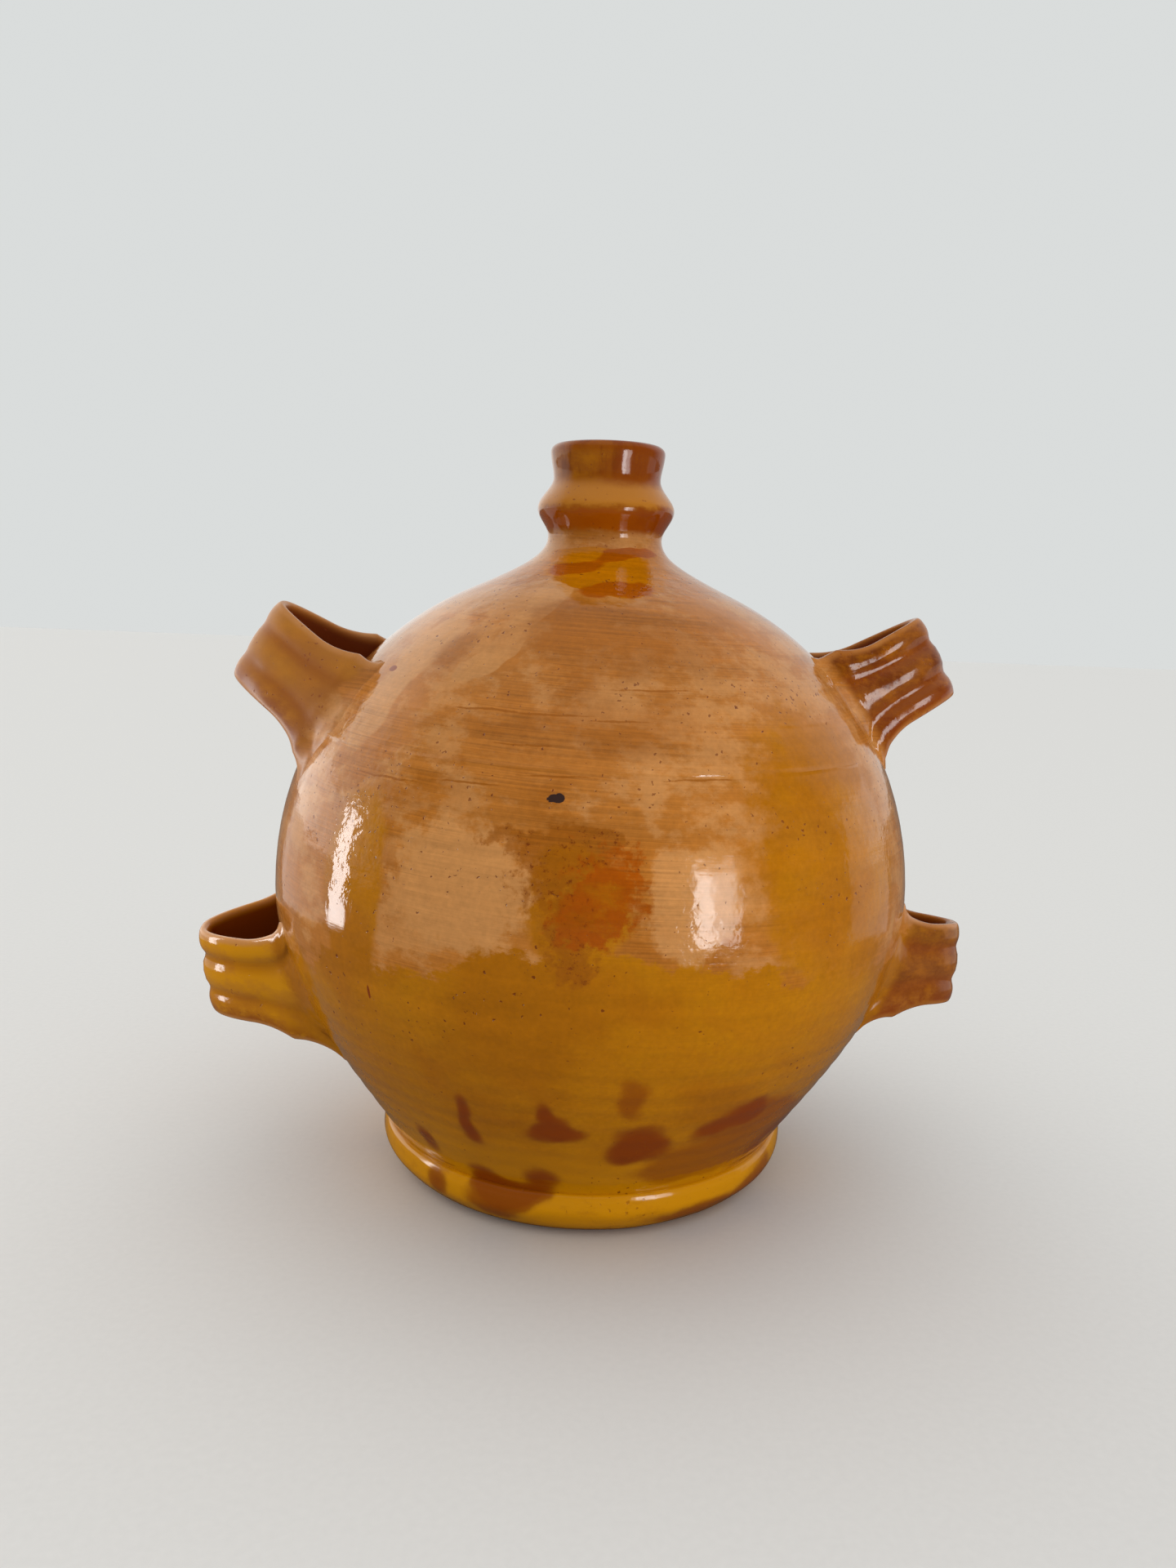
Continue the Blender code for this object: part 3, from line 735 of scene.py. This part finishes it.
def neck_glaze(c, waist):
    """The neck: honey glaze, tan on the bead's upper slope, brown below it and on the right."""
    glaze = Glaze("neck_glaze", waves=0.0001, lines=0.0)
    tree, mottle = glaze.tree, glaze.surface["Mottle"]
    level = tree.plus(tree.less(glaze.height, waist), tree.centred(mottle, 0.006))
    glaze.base = tree.mix(tree.smooth(mottle, 0.40, 0.70), rgba(c.honey_brown), rgba(c.amber))
    slope = tree.times(tree.smooth(level, 0.0095, 0.0120), tree.smooth(level, 0.0215, 0.0165))
    glaze.cover(slope, c.tan, 0.85)
    glaze.cover(slope, c.mustard, 0.22)
    streaks = tree.smooth(tree.stretched(glaze.vector, (240.0, 240.0, 45.0), 3.0, 0.6), 0.44, 0.60)
    glaze.cover(tree.times(tree.smooth(level, 0.0190, 0.0245), streaks), c.strap_brown, 0.55)
    glaze.cover(tree.smooth(level, 0.0290, 0.0325), c.rust, 0.55)
    hollow = tree.times(tree.smooth(level, 0.0010, 0.0035), tree.smooth(level, 0.0110, 0.0085))
    glaze.cover(hollow, c.orange, 0.85)
    sides = ((62.0, waist + 0.019, 0.0200, 0.0260, 1.0), (150.0, waist + 0.012, 0.0140, 0.0200, 1.0))
    brown = glaze.blotches(sides, ragged=0.7, softness=0.30, warp=0.004, grain=90.0)
    glaze.cover(tree.times(brown, tree.rest(slope)), c.rust, 0.75)
    glaze.merge_body(tree.smooth(level, 0.0030, -0.0010), c)
    glaze.cover(glaze.surface["Specks"], c.rust, 0.7)
    glaze.cover(glaze.hidden(), c.dark_glaze_and_shade)
    return glaze.finish(tree.linear(mottle, 0.12, 0.04))


def strap_glaze(c):
    """The straps: brown on the face, pale at the edges from wear and a painted sheen, dark inside from glaze
    and painted shade, body colour at the roots.
    """
    glaze = Glaze("strap_glaze", waves=0.00016, lines=0.0)
    tree, mottle, patches = glaze.tree, glaze.surface["Mottle"], glaze.surface["Patches"]
    given_tone, matt = glaze.attribute("tone"), glaze.attribute("matt")
    tone = tree.math("MULTIPLY_ADD", tree.less(patches, 0.5), 1.4, given_tone, clamp=True)
    brown = tree.mix(tree.smooth(mottle, 0.32, 0.58), rgba(c.honey_brown), rgba(c.strap_brown))
    glaze.base = tree.mix(tone, rgba(c.mustard), brown)
    glaze.cover(tree.smooth(patches, 0.47, 0.57), c.tan, 0.24)
    glaze.cover(matt, c.tan, 2.5)
    glaze.cover(glaze.attribute("groove"), c.rust, 0.45)
    glaze.cover(tree.times(glaze.attribute("under"), tree.smooth(mottle, 0.30, 0.55)), c.rust, 0.70)
    root = tree.linear(given_tone, -0.15, tree.plus(tree.centred(mottle, 0.8), glaze.attribute("root")))
    glaze.merge_body(tree.smooth(root, 0.45, 0.80), c)
    # The rims: tan for wear, then beige on the paler straps as a painted sheen of light from above.
    rim_wear_and_sheen = tree.times(tree.smooth(glaze.attribute("edge"), 0.84, 0.97), tree.smooth(mottle, 0.30, 0.52))
    glaze.cover(rim_wear_and_sheen, c.tan, 0.75)
    glaze.cover(tree.times(rim_wear_and_sheen, tree.rest(tone)), c.pale_slip_and_sheen, 0.8)
    # Painted shade: the inside of each loop is painted dark, partly thick glaze and partly shade.
    glaze.cover(glaze.attribute("inner"), c.dark_glaze_and_shade, 0.95)
    glaze.cover(glaze.surface["Specks"], c.rust, 0.7)
    return glaze.finish(tree.linear(mottle, 0.12, tree.plus(matt, 0.05)))


# Turned pieces: an outline that a geometry node tree turns round the axis.
MERGE_DISTANCE = 0.000001
RIDGE_TILT = 0.012
RIDGE_WIDTH = 0.0008
RIDGE_OFFSET = 0.001
WOBBLE_SIZE = 0.055
FOOT_WOBBLE_SIZE = 0.035


def turning_tree():
    """Turns an outline round Z and gives it the unevenness of hand throwing."""
    group, tree, given, out = new_group(
        "turned_clay",
        "GeometryNodeTree",
        {
            "Outline": GEOMETRY, "Steps": 240.0, "Wobble": 0.0005, "Wobble Size": 0.05, "Ring Depth": 0.0002,
            "Ring Pitch": 0.007, "Ridge Height": 0.0005, "Ridge Level": 0.17, "Second Level": 0.186,
            "Lean": 0.0, "Lean From": 0.22, "Lean To": 0.25, "Seed": 3.0, "Material": "NodeSocketMaterial",
        },
        {"Mesh": GEOMETRY},
    )
    outline = given["Outline"]
    rows = tree.node("GeometryNodeAttributeDomainSize", {"Geometry": outline}).outputs["Point Count"]
    counts = {"Vertices X": rows, "Vertices Y": tree.plus(given["Steps"], 1.0)}
    grid = tree.node("GeometryNodeMeshGrid", dict(counts, **{"Size X": 1.0, "Size Y": 1.0}))
    position = tree.node("GeometryNodeInputPosition").outputs[0]
    x, y, _ = tree.split(position)
    row = tree.math("ROUND", tree.times(tree.plus(x, 0.5), tree.less(rows, 1.0)))
    angle = tree.times(tree.plus(y, 0.5), math.tau)

    def on_outline(value, kind):
        inputs = {"Geometry": outline, "Value": value, "Index": row}
        return tree.node("GeometryNodeSampleIndex", inputs, data_type=kind).outputs[0]

    radius, _, height = tree.split(on_outline(position, "FLOAT_VECTOR"))
    shown = tree.node("GeometryNodeInputNamedAttribute", {"Name": "shown"}, data_type="FLOAT").outputs[0]
    shown = on_outline(shown, "FLOAT")
    cosine = tree.math("COSINE", angle)
    sine = tree.math("SINE", angle)

    def around(reach):
        return tree.join(tree.times(reach, cosine), tree.times(reach, sine), height)

    seeded = tree.vector("ADD", around(radius), tree.join(given["Seed"]))
    slow = tree.noise(seeded, tree.math("DIVIDE", 1.0, given["Wobble Size"]), 1.0)
    uneven = tree.times(tree.less(slow, 1.0), given["Wobble"])
    # Throwing rings, deepest low on the body.
    wave = tree.plus(tree.math("DIVIDE", height, given["Ring Pitch"]), tree.times(slow, 1.5))
    ring = tree.less(tree.math("COSINE", tree.times(wave, math.tau)), 1.0)
    ring = tree.times(ring, given["Ring Depth"], 0.5)
    low_down = tree.linear(tree.smooth(height, 0.105, 0.060), 0.8, 0.2)
    moved = tree.linear(ring, low_down, uneven)
    # Two smoothed seams that come and go round the body.
    tilted = tree.linear(tree.times(radius, cosine), RIDGE_TILT, height)
    broken = tree.noise(seeded, 60.0, 3.0, 0.6)
    for level, low, high, share in (("Ridge Level", 0.38, 0.58, 1.0), ("Second Level", 0.46, 0.62, 0.7)):
        off_ridge = tree.math("ABSOLUTE", tree.less(tilted, given[level]))
        ridge = tree.times(tree.smooth(off_ridge, RIDGE_WIDTH, 0.0), tree.smooth(broken, low, high))
        moved = tree.plus(moved, tree.times(ridge, given["Ridge Height"], share))
    reach = tree.linear(moved, shown, radius)
    lean = tree.times(tree.smooth(height, given["Lean From"], given["Lean To"]), given["Lean"])
    place = tree.vector("ADD", around(reach), tree.join(lean))
    mesh = grid.outputs["Mesh"]
    for kind, inputs in (
        ("StoreNamedAttribute", {"Name": "shown", "Value": shown}),
        ("SetPosition", {"Position": place}),
        ("MergeByDistance", {"Distance": MERGE_DISTANCE}),
        ("SetShadeSmooth", {}),
        ("RealizeInstances", {}),
        ("SetMaterial", {"Material": given["Material"]}),
    ):
        mesh = tree.node("GeometryNode" + kind, dict(inputs, Geometry=mesh)).outputs[0]
    tree.feed(out["Mesh"], mesh)
    return group


def attach(piece, node):
    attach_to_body(piece, BODY)
    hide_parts(node)


def finish_mesh(piece, sharp_degrees):
    """Turns the faces outwards and keeps the rims crisp."""
    shell = bmesh.new()
    shell.from_mesh(piece.data)
    bmesh.ops.remove_doubles(shell, verts=shell.verts, dist=MERGE_DISTANCE / 2)
    bmesh.ops.recalc_face_normals(shell, faces=shell.faces)
    shell.to_mesh(piece.data)
    shell.free()
    piece.data.shade_smooth()
    piece.data.set_sharp_from_angle(angle=math.radians(sharp_degrees))


def turned(context, node, outside, inside, material, **inputs):
    """The turned piece of a node. Outside points show, inside points close the wall behind them."""
    outline = outside + inside
    mesh = bpy.data.meshes.new(node)
    edges = [(index, index + 1) for index in range(len(outline) - 1)]
    mesh.from_pydata([(radius, 0.0, height) for radius, height in outline], edges, [])
    shown = mesh.attributes.new("shown", "FLOAT", "POINT")
    for index, point in enumerate(outline):
        shown.data[index].value = 1.0 if point in outside else 0.0
    piece = bpy.data.objects.new(node + "_glazed", mesh)
    context.collection.objects.link(piece)
    tree = shared_group("turned_clay", turning_tree)
    turning = piece.modifiers.new("turned", "NODES")
    turning.node_group = tree
    sockets = {item.name: item.identifier for item in tree.interface.items_tree if item.in_out == "INPUT"}
    for socket, value in dict(inputs, Material=material).items():
        turning[sockets[socket.replace("_", " ")]] = value
    evaluated = piece.evaluated_get(context.evaluated_depsgraph_get())
    piece.data = bpy.data.meshes.new_from_object(evaluated)
    piece.modifiers.clear()
    finish_mesh(piece, sharp_degrees=40.0)
    attach(piece, node)


def hand(s):
    """The unevenness that all the thrown pieces share, so that they meet without a step."""
    return {
        "Wobble": s.wobble, "Wobble_Size": WOBBLE_SIZE, "Lean": s.lean,
        "Ring_Depth": s.ring_depth, "Ring_Pitch": s.ring_pitch,
        "Ridge_Height": s.ridge, "Ridge_Level": s.seam_height + RIDGE_OFFSET,
    }


def body_material(c):
    return bpy.data.materials.get("body_glaze") or body_glaze(c)


def plan(context):
    """The scene's sizes and colours, and the outline that the sizes give."""
    s = context.scene.jar_sizes
    return s, context.scene.jar_colours, Outline(s)


# The foot: a cove runs down the wall into a crease, and the flange rolls over and flares in to the base.
COVE_RISE = 0.0030
COVE_BEND = 0.0012
COVE_SKIN = 0.0001
CREASE_OUT = 0.0005
CREASE_UP = 0.0003
FLANGE_ROLL = 0.0052
ROLL_INSET = 0.0010
ROLL_DROP = 0.0018
FLARE_HIGH = 0.62
FLARE_LOW = 0.2
FLOOR_BEVEL = 0.003
COVE_STEPS = 14
ROLL_STEPS = 20
FLARE_STEPS = 40
BASE_STEPS = 12


class JAR_OT_foot(bpy.types.Operator):
    """Turn the flanged foot"""

    bl_idname = "jar.foot"
    bl_label = "Foot"

    def execute(self, context):
        s, c, outline = plan(context)
        flange, top = s.flange_height, s.flange_height - FLANGE_ROLL
        crease = (s.waist_radius + CREASE_OUT, flange + CREASE_UP)
        cove = bezier(
            (outline.radius(flange + COVE_RISE) + COVE_SKIN, flange + COVE_RISE),
            (outline.radius(flange + COVE_BEND) + 2 * COVE_SKIN, flange + COVE_BEND),
            (s.waist_radius + 2 * COVE_SKIN, flange + 4 * COVE_SKIN),
            crease,
            COVE_STEPS,
        )
        roll = bezier(
            crease,
            (s.flange_radius - ROLL_INSET, flange + 2 * COVE_SKIN),
            (s.flange_radius, flange - ROLL_DROP),
            (s.flange_radius, top),
            ROLL_STEPS,
        )
        flare = bezier(
            (s.flange_radius, top),
            (s.flange_radius, FLARE_HIGH * top),
            ((s.flange_radius + s.foot_radius) / 2, FLARE_LOW * top),
            (s.foot_radius, 0.0),
            FLARE_STEPS,
        )
        rim = s.waist_radius - s.wall
        under = [(s.foot_radius * step / BASE_STEPS, 0.0) for step in reversed(range(BASE_STEPS))]
        inner = [(0.0, s.floor), (rim - FLOOR_BEVEL, s.floor), (rim, s.floor + FLOOR_BEVEL), (rim, flange)]
        uneven = dict(hand(s), Wobble=s.foot_wobble, Wobble_Size=FOOT_WOBBLE_SIZE)
        outside = cove + roll[1:] + flare[1:]
        turned(context, "foot", outside, under + inner + cove[:1], foot_glaze(c), **uneven)
        return {"FINISHED"}


# The insides of bowl, dome and neck, which need fewer points than the outsides.
INSIDE_STRIDE = 4
INSIDE_CLEAR = 0.001
INSIDE_STEPS = 40
BORE_STEPS = 12


class JAR_OT_bowl(bpy.types.Operator):
    """Turn the lower half of the body"""

    bl_idname = "jar.bowl"
    bl_label = "Lower bowl"

    def execute(self, context):
        s, c, outline = plan(context)
        behind = offset(outline.bowl[::INSIDE_STRIDE], s.wall)
        lowest = s.flange_height + INSIDE_CLEAR
        inside = [point for point in reversed(behind) if point[1] > lowest]
        bottom, top = (inside[0][0], s.flange_height), (inside[-1][0], s.seam_height)
        close = [bottom] + inside + [top, outline.bowl[0]]
        turned(context, "lower_bowl", outline.bowl, close, body_material(c), **hand(s))
        return {"FINISHED"}


class JAR_OT_dome(bpy.types.Operator):
    """Turn the upper half of the body"""

    bl_idname = "jar.dome"
    bl_label = "Upper dome"

    def execute(self, context):
        s, c, outline = plan(context)
        inner = s.belly_radius - s.wall
        mouth = s.belly_height + math.sqrt(inner ** 2 - s.bore_radius ** 2)
        inside = ball_arc(s.belly_height, inner, s.seam_height, mouth, INSIDE_STEPS)
        close = inside + [(s.bore_radius, outline.dome[0][1]), outline.dome[0]]
        turned(context, "upper_dome", outline.dome, close, body_material(c), **hand(s))
        return {"FINISHED"}


class JAR_OT_neck(bpy.types.Operator):
    """Turn the beaded neck"""

    bl_idname = "jar.neck"
    bl_label = "Neck"

    def execute(self, context):
        s, c, outline = plan(context)
        bottom = outline.neck[-1][1]
        top = outline.neck[0][1]
        rises = [(top - bottom) * step / BORE_STEPS for step in range(BORE_STEPS + 1)]
        bore = [(s.bore_radius, bottom + rise) for rise in rises]
        turned(context, "neck", outline.neck, bore, neck_glaze(c, outline.waist), **hand(s))
        return {"FINISHED"}


# Pulled straps. The loop's line runs on past its ends, into the wall.
LOOP_NOSE = 0.17
LOOP_PINCH = 1.5
LOOP_OVERRUN = 1.12
LOOP_STEP = 0.01
NOSE_INSET = 0.0005
ROOT_SPREAD = 0.28
ROOT_THICKENING = 0.5
ROOT_SINK = 0.0012
ROOT_COLOUR_REACH = 0.011
BAND_CORNERS = 0.66
FLUTE_PLACE = 0.40
FLUTE_WIDTH = 0.17
DENT_DEPTH = 0.0003
DENTS_ALONG = 3.0
DENTS_ACROSS = 1.2
DENTS_APART = 90.0
SMEAR_INSIDE = 0.45
SMEAR_SKEW = 0.35
STRAP_LAYERS = ("edge", "inner", "root", "groove", "under", "tone", "matt")


def loop_point(place, s, nose, half_span):
    """A point of a loop's middle line in its own plane. Place runs from -1 to 1, 0 at the nose."""
    soft = (math.hypot(place, LOOP_NOSE) - LOOP_NOSE) / (math.hypot(1.0, LOOP_NOSE) - LOOP_NOSE)
    return Vector((nose - (nose + s.root_depth) * soft ** LOOP_PINCH, half_span * place, 0.0))


def rounded(value):
    """A sine or cosine spread towards its ends, for a band with rounded corners."""
    return math.copysign(abs(value) ** BAND_CORNERS, value)


def clamped(value):
    return min(max(value, 0.0), 1.0)


def smeared(point, middle, fillet, outline):
    """A strap's point moved along the wall where a root spreads, and how far it stands off the wall."""
    off, normal = outline.wall(point)
    push = fillet
    if off > 0.0:
        push = fillet - math.sqrt(max(fillet ** 2 - max(fillet - off, 0.0) ** 2, 0.0))
    away = point - middle
    away -= normal * away.dot(normal)
    if away.length > 0.0:
        point = point + away.normalized() * push
    after, normal = outline.wall(point)
    return point - normal * (after - max(off, -ROOT_SINK)), off


def strap_mesh(name, sizes, s, outline):
    """A fluted band swept round its loop, with its roots smeared out on to the wall."""
    azimuth, rise, tilt, twist, reach, half_span, width, tone, flute, matt, smear = sizes
    around = math.radians(azimuth)
    turn = Euler((math.radians(twist), -math.radians(tilt), around)).to_matrix()
    height = s.belly_height + rise
    stand = outline.radius(height)
    origin = Vector((stand * math.cos(around), stand * math.sin(around), height))
    nose = reach - s.strap_thickness / 2 - NOSE_INSET
    shell = bmesh.new()
    layers = {key: shell.verts.layers.float.new(key) for key in STRAP_LAYERS}
    rings = []
    for step in range(STRAP_SECTIONS + 1):
        place = LOOP_OVERRUN * (2 * step / STRAP_SECTIONS - 1)
        centre = loop_point(place, s, nose, half_span)
        after = loop_point(place + LOOP_STEP, s, nose, half_span)
        along = after - loop_point(place - LOOP_STEP, s, nose, half_span)
        face = Vector((along.y, -along.x, 0.0)).normalized()
        spread = max(0.0, 1 - max(centre.x, 0.0) / s.root_length) ** 2
        half_width = width / 2 * (1 + ROOT_SPREAD * spread)
        half_thick = s.strap_thickness / 2 * (1 + ROOT_THICKENING * spread)
        ring = []
        for side in range(STRAP_SIDES):
            angle = math.tau * side / STRAP_SIDES
            across = rounded(math.sin(angle))
            out = rounded(math.cos(angle))
            groove = math.exp(-((abs(across) - FLUTE_PLACE) / FLUTE_WIDTH) ** 2) * max(out, 0.0) ** 0.5
            spot = (place * DENTS_ALONG + azimuth, across * DENTS_ACROSS, rise * DENTS_APART)
            dent = noise.noise(Vector(spot))
            lift = half_thick * out - s.flute_depth * flute * groove * (0.75 + 0.5 * dent)
            lift -= DENT_DEPTH * (1 + dent) * max(out, 0.0)
            local = centre + face * lift + Vector((0.0, 0.0, half_width * across))
            # The smear is wider on the face than inside the loop, and wider below than above.
            spreads = SMEAR_INSIDE + (1.0 - SMEAR_INSIDE) * clamped(out + 0.5)
            fillet = s.root_fillet * smear * spreads * (1.0 - SMEAR_SKEW * across)
            point, off = smeared(origin + turn @ local, origin + turn @ centre, fillet, outline)
            vert = shell.verts.new(point)
            # The inside of the loop, which the glaze paints dark for shade as well as thick glaze.
            inner = clamped((-out - 0.45) * 3.0)
            root = clamped(1.0 - off / ROOT_COLOUR_REACH)
            under = clamped((-across - 0.45) * 2.5)
            for key, value in zip(STRAP_LAYERS, (abs(across), inner, root, groove, under, tone, matt)):
                vert[layers[key]] = value
            ring.append(vert)
        rings.append(ring)
    for ring, following in zip(rings, rings[1:]):
        for index, corner in enumerate(ring):
            beside = (index + 1) % STRAP_SIDES
            shell.faces.new((corner, ring[beside], following[beside], following[index]))
    shell.faces.new(rings[0])
    shell.faces.new(rings[-1])
    mesh = bpy.data.meshes.new(name)
    shell.to_mesh(mesh)
    shell.free()
    return mesh


class JAR_OT_straps(bpy.types.Operator):
    """Pull the four strap loops and smear them on to the wall"""

    bl_idname = "jar.straps"
    bl_label = "Straps"

    def execute(self, context):
        s, c, outline = plan(context)
        material = strap_glaze(c)
        for node, sizes in STRAPS.items():
            piece = bpy.data.objects.new(node + "_glazed", strap_mesh(node, sizes, s, outline))
            context.collection.objects.link(piece)
            piece.data.materials.append(material)
            finish_mesh(piece, sharp_degrees=60.0)
            attach(piece, node)
        return {"FINISHED"}


# Stage: floor, light and camera. Each lamp: azimuth from the front and elevation as seen from the jar,
# distance, width, height and radiance.
BELLY_FRONT = Vector((0.0, -0.10, 0.125))
LAMPS = {
    "window_right": (40.1, 2.0, 0.55, 0.075, 0.26, 11.8),
    "window_right_pane": (48.9, 2.0, 0.55, 0.094, 0.26, 5.6),
    "window_left": (-95.8, 0.0, 0.48, 0.056, 0.235, 10.5),
    "wall_right": (113.0, 0.0, 0.48, 0.200, 0.235, 0.4),
    "wall_left": (-117.0, 0.0, 0.48, 0.300, 0.235, 0.6),
}
STRAP_LAMP = (82.0, 21.0, 0.64, 0.085, 0.17, 7.0)
CAMERA_PLACE = Vector((-0.0022, -0.4599, 0.2275))
CAMERA_PITCH = 9.5
CAMERA_ROLL = 2.1
CAMERA_LENS = 27.0
CAMERA_SENSOR = 36.0
FLOOR_SIZE = 8.0
FLOOR_GREY = (0.80, 0.80, 0.79)
FLOOR_SHADE = (0.50, 0.49, 0.47)
FLOOR_GLOSS = (0.14, 0.13, 0.12)
WALL_GREY = (0.70, 0.72, 0.715)
ROOM_BACK = (0.70, 0.71, 0.71)
ROOM_FRONT = (0.62, 0.62, 0.61)
ROOM_FRONT_GLOSS = (0.07, 0.07, 0.07)
ROOM_SHADE = (0.42, 0.42, 0.42)
ROOM_SHADE_GLOSS = (0.10, 0.10, 0.10)
ROOM_TOP = (1.10, 1.10, 1.08)
ROOM_TOP_GLOSS = (0.32, 0.32, 0.31)
BRIGHT_CORNER = (1.30, 1.27, 1.20)
CORNER_DIRECTION = (-0.80, 0.60, 0.05)


def light_set(name, objects, state):
    """A collection that says which objects a lamp lights, or leaves out."""
    lit = bpy.data.collections.new(name)
    for index, item in enumerate(objects):
        lit.objects.link(item)
        lit.collection_objects[index].light_linking.link_state = state
    return lit


def add_lamp(context, name, lit, azimuth, elevation, distance, width, height, radiance):
    """A rectangular lamp that faces the belly from a direction."""
    turn, lift = math.radians(azimuth), math.radians(elevation)
    towards = Vector((math.sin(turn) * math.cos(lift), -math.cos(turn) * math.cos(lift), math.sin(lift)))
    light = bpy.data.lights.new(name, "AREA")
    light.shape = "RECTANGLE"
    light.size = width
    light.size_y = height
    light.energy = radiance * math.pi * width * height
    lamp = bpy.data.objects.new(name, light)
    lamp.location = BELLY_FRONT + towards * distance
    lamp.rotation_euler = towards.to_track_quat("Z", "Y").to_euler()
    lamp.visible_camera = False
    lamp.light_linking.receiver_collection = lit
    context.collection.objects.link(lamp)


def add_camera(context):
    pitch, roll = math.radians(CAMERA_PITCH), math.radians(CAMERA_ROLL)
    forward = Vector((0.0, math.cos(pitch), -math.sin(pitch)))
    level_up = Vector((0.0, math.sin(pitch), math.cos(pitch)))
    level_right = Vector((1.0, 0.0, 0.0))
    right = level_right * math.cos(roll) + level_up * math.sin(roll)
    up = level_up * math.cos(roll) - level_right * math.sin(roll)
    view = bpy.data.cameras.new("photo_camera")
    view.lens = CAMERA_LENS
    view.sensor_width = CAMERA_SENSOR
    view.clip_start = 0.01
    camera = bpy.data.objects.new("photo_camera", view)
    turn = Matrix((right, up, -forward)).transposed().to_4x4()
    camera.matrix_world = Matrix.Translation(CAMERA_PLACE) @ turn
    context.collection.objects.link(camera)
    context.scene.camera = camera


def add_floor(context):
    shell = bmesh.new()
    bmesh.ops.create_grid(shell, x_segments=1, y_segments=1, size=FLOOR_SIZE / 2)
    mesh = bpy.data.meshes.new("floor")
    shell.to_mesh(mesh)
    shell.free()
    material = bpy.data.materials.new("pale_floor")
    material.use_nodes = True
    tree = Tree(material.node_tree)
    shader = material.node_tree.nodes["Principled BSDF"]
    shader.inputs["Roughness"].default_value = 0.8
    vector = tree.node("ShaderNodeTexCoord").outputs["Object"]
    grain = tree.linear(tree.noise(vector, 400.0), 0.06, 0.97)
    path = tree.node("ShaderNodeLightPath").outputs
    grey = tree.mix(path["Is Glossy Ray"], rgba(FLOOR_SHADE), rgba(FLOOR_GLOSS))
    grey = tree.mix(path["Is Camera Ray"], grey, rgba(FLOOR_GREY))
    tree.feed(shader.inputs["Base Color"], tree.shade(grey, grain))
    mesh.materials.append(material)
    floor = bpy.data.objects.new("floor", mesh)
    context.collection.objects.link(floor)
    return floor


def add_world(context):
    """A pale room that is darker in reflections, except at the back and in one bright corner."""
    world = bpy.data.worlds.new("studio")
    world.use_nodes = True
    tree = Tree(world.node_tree)
    path = tree.node("ShaderNodeLightPath").outputs
    direction = tree.node("ShaderNodeTexCoord").outputs["Generated"]
    _, y, z = tree.split(direction)

    def seen(plain, gloss):
        return tree.mix(path["Is Glossy Ray"], rgba(plain), rgba(gloss))

    ends = tree.plus(tree.math("ABSOLUTE", y), tree.times(tree.math("ABSOLUTE", z), 0.5))
    room = tree.mix(tree.smooth(y, -0.15, 0.15), seen(ROOM_FRONT, ROOM_FRONT_GLOSS), rgba(ROOM_BACK))
    room = tree.mix(tree.smooth(ends, 0.15, 0.65), seen(ROOM_SHADE, ROOM_SHADE_GLOSS), room)
    room = tree.mix(tree.smooth(z, 0.45, 0.95), room, seen(ROOM_TOP, ROOM_TOP_GLOSS))
    towards = tree.vector("DOT_PRODUCT", direction, CORNER_DIRECTION, "Value")
    room = tree.mix(tree.smooth(towards, 0.60, 0.92), room, rgba(BRIGHT_CORNER))
    background = world.node_tree.nodes["Background"]
    tree.feed(background.inputs["Color"], tree.mix(path["Is Camera Ray"], room, rgba(WALL_GREY)))
    context.scene.world = world


class JAR_OT_stage(bpy.types.Operator):
    """Set up the pale floor, the soft light and the camera"""

    bl_idname = "jar.stage"
    bl_label = "Stage"

    def execute(self, context):
        floor = add_floor(context)
        pieces = context.collection.objects
        on_jar = light_set("lit_pieces", [floor], "EXCLUDE")
        below_neck = light_set("lit_below_neck", [floor, pieces["neck_glazed"]], "EXCLUDE")
        on_strap = light_set("lit_straps", [pieces["upper_right_strap_glazed"]], "INCLUDE")
        for name, values in LAMPS.items():
            add_lamp(context, name, below_neck if name == "window_left" else on_jar, *values)
        add_lamp(context, "side_right", on_strap, *STRAP_LAMP)
        add_camera(context)
        add_world(context)
        context.scene.view_settings.view_transform = "Standard"
        return {"FINISHED"}


class JAR_PT_panel(bpy.types.Panel):
    """Lists the jar's pieces, sizes and colours"""

    bl_idname = "JAR_PT_panel"
    bl_label = "Strap-handled jar"
    bl_space_type = "VIEW_3D"
    bl_region_type = "UI"
    bl_category = "Jar"

    def draw(self, context):
        for operator in OPERATORS:
            self.layout.operator(operator.bl_idname)
        for group in (context.scene.jar_sizes, context.scene.jar_colours):
            box = self.layout.box()
            for name in group.__annotations__:
                box.prop(group, name)


OPERATORS = (JAR_OT_foot, JAR_OT_bowl, JAR_OT_dome, JAR_OT_neck, JAR_OT_straps, JAR_OT_stage)
CLASSES = (JarSizes, JarColours) + OPERATORS + (JAR_PT_panel,)


def register():
    for cls in CLASSES:
        bpy.utils.register_class(cls)
    bpy.types.Scene.jar_sizes = bpy.props.PointerProperty(type=JarSizes)
    bpy.types.Scene.jar_colours = bpy.props.PointerProperty(type=JarColours)


def unregister():
    del bpy.types.Scene.jar_colours
    del bpy.types.Scene.jar_sizes
    for cls in reversed(CLASSES):
        bpy.utils.unregister_class(cls)


def main():
    register()
    bpy.ops.jar.foot()
    bpy.ops.jar.bowl()
    bpy.ops.jar.dome()
    bpy.ops.jar.neck()
    bpy.ops.jar.straps()
    bpy.ops.jar.stage()


if __name__ == "__main__":
    main()
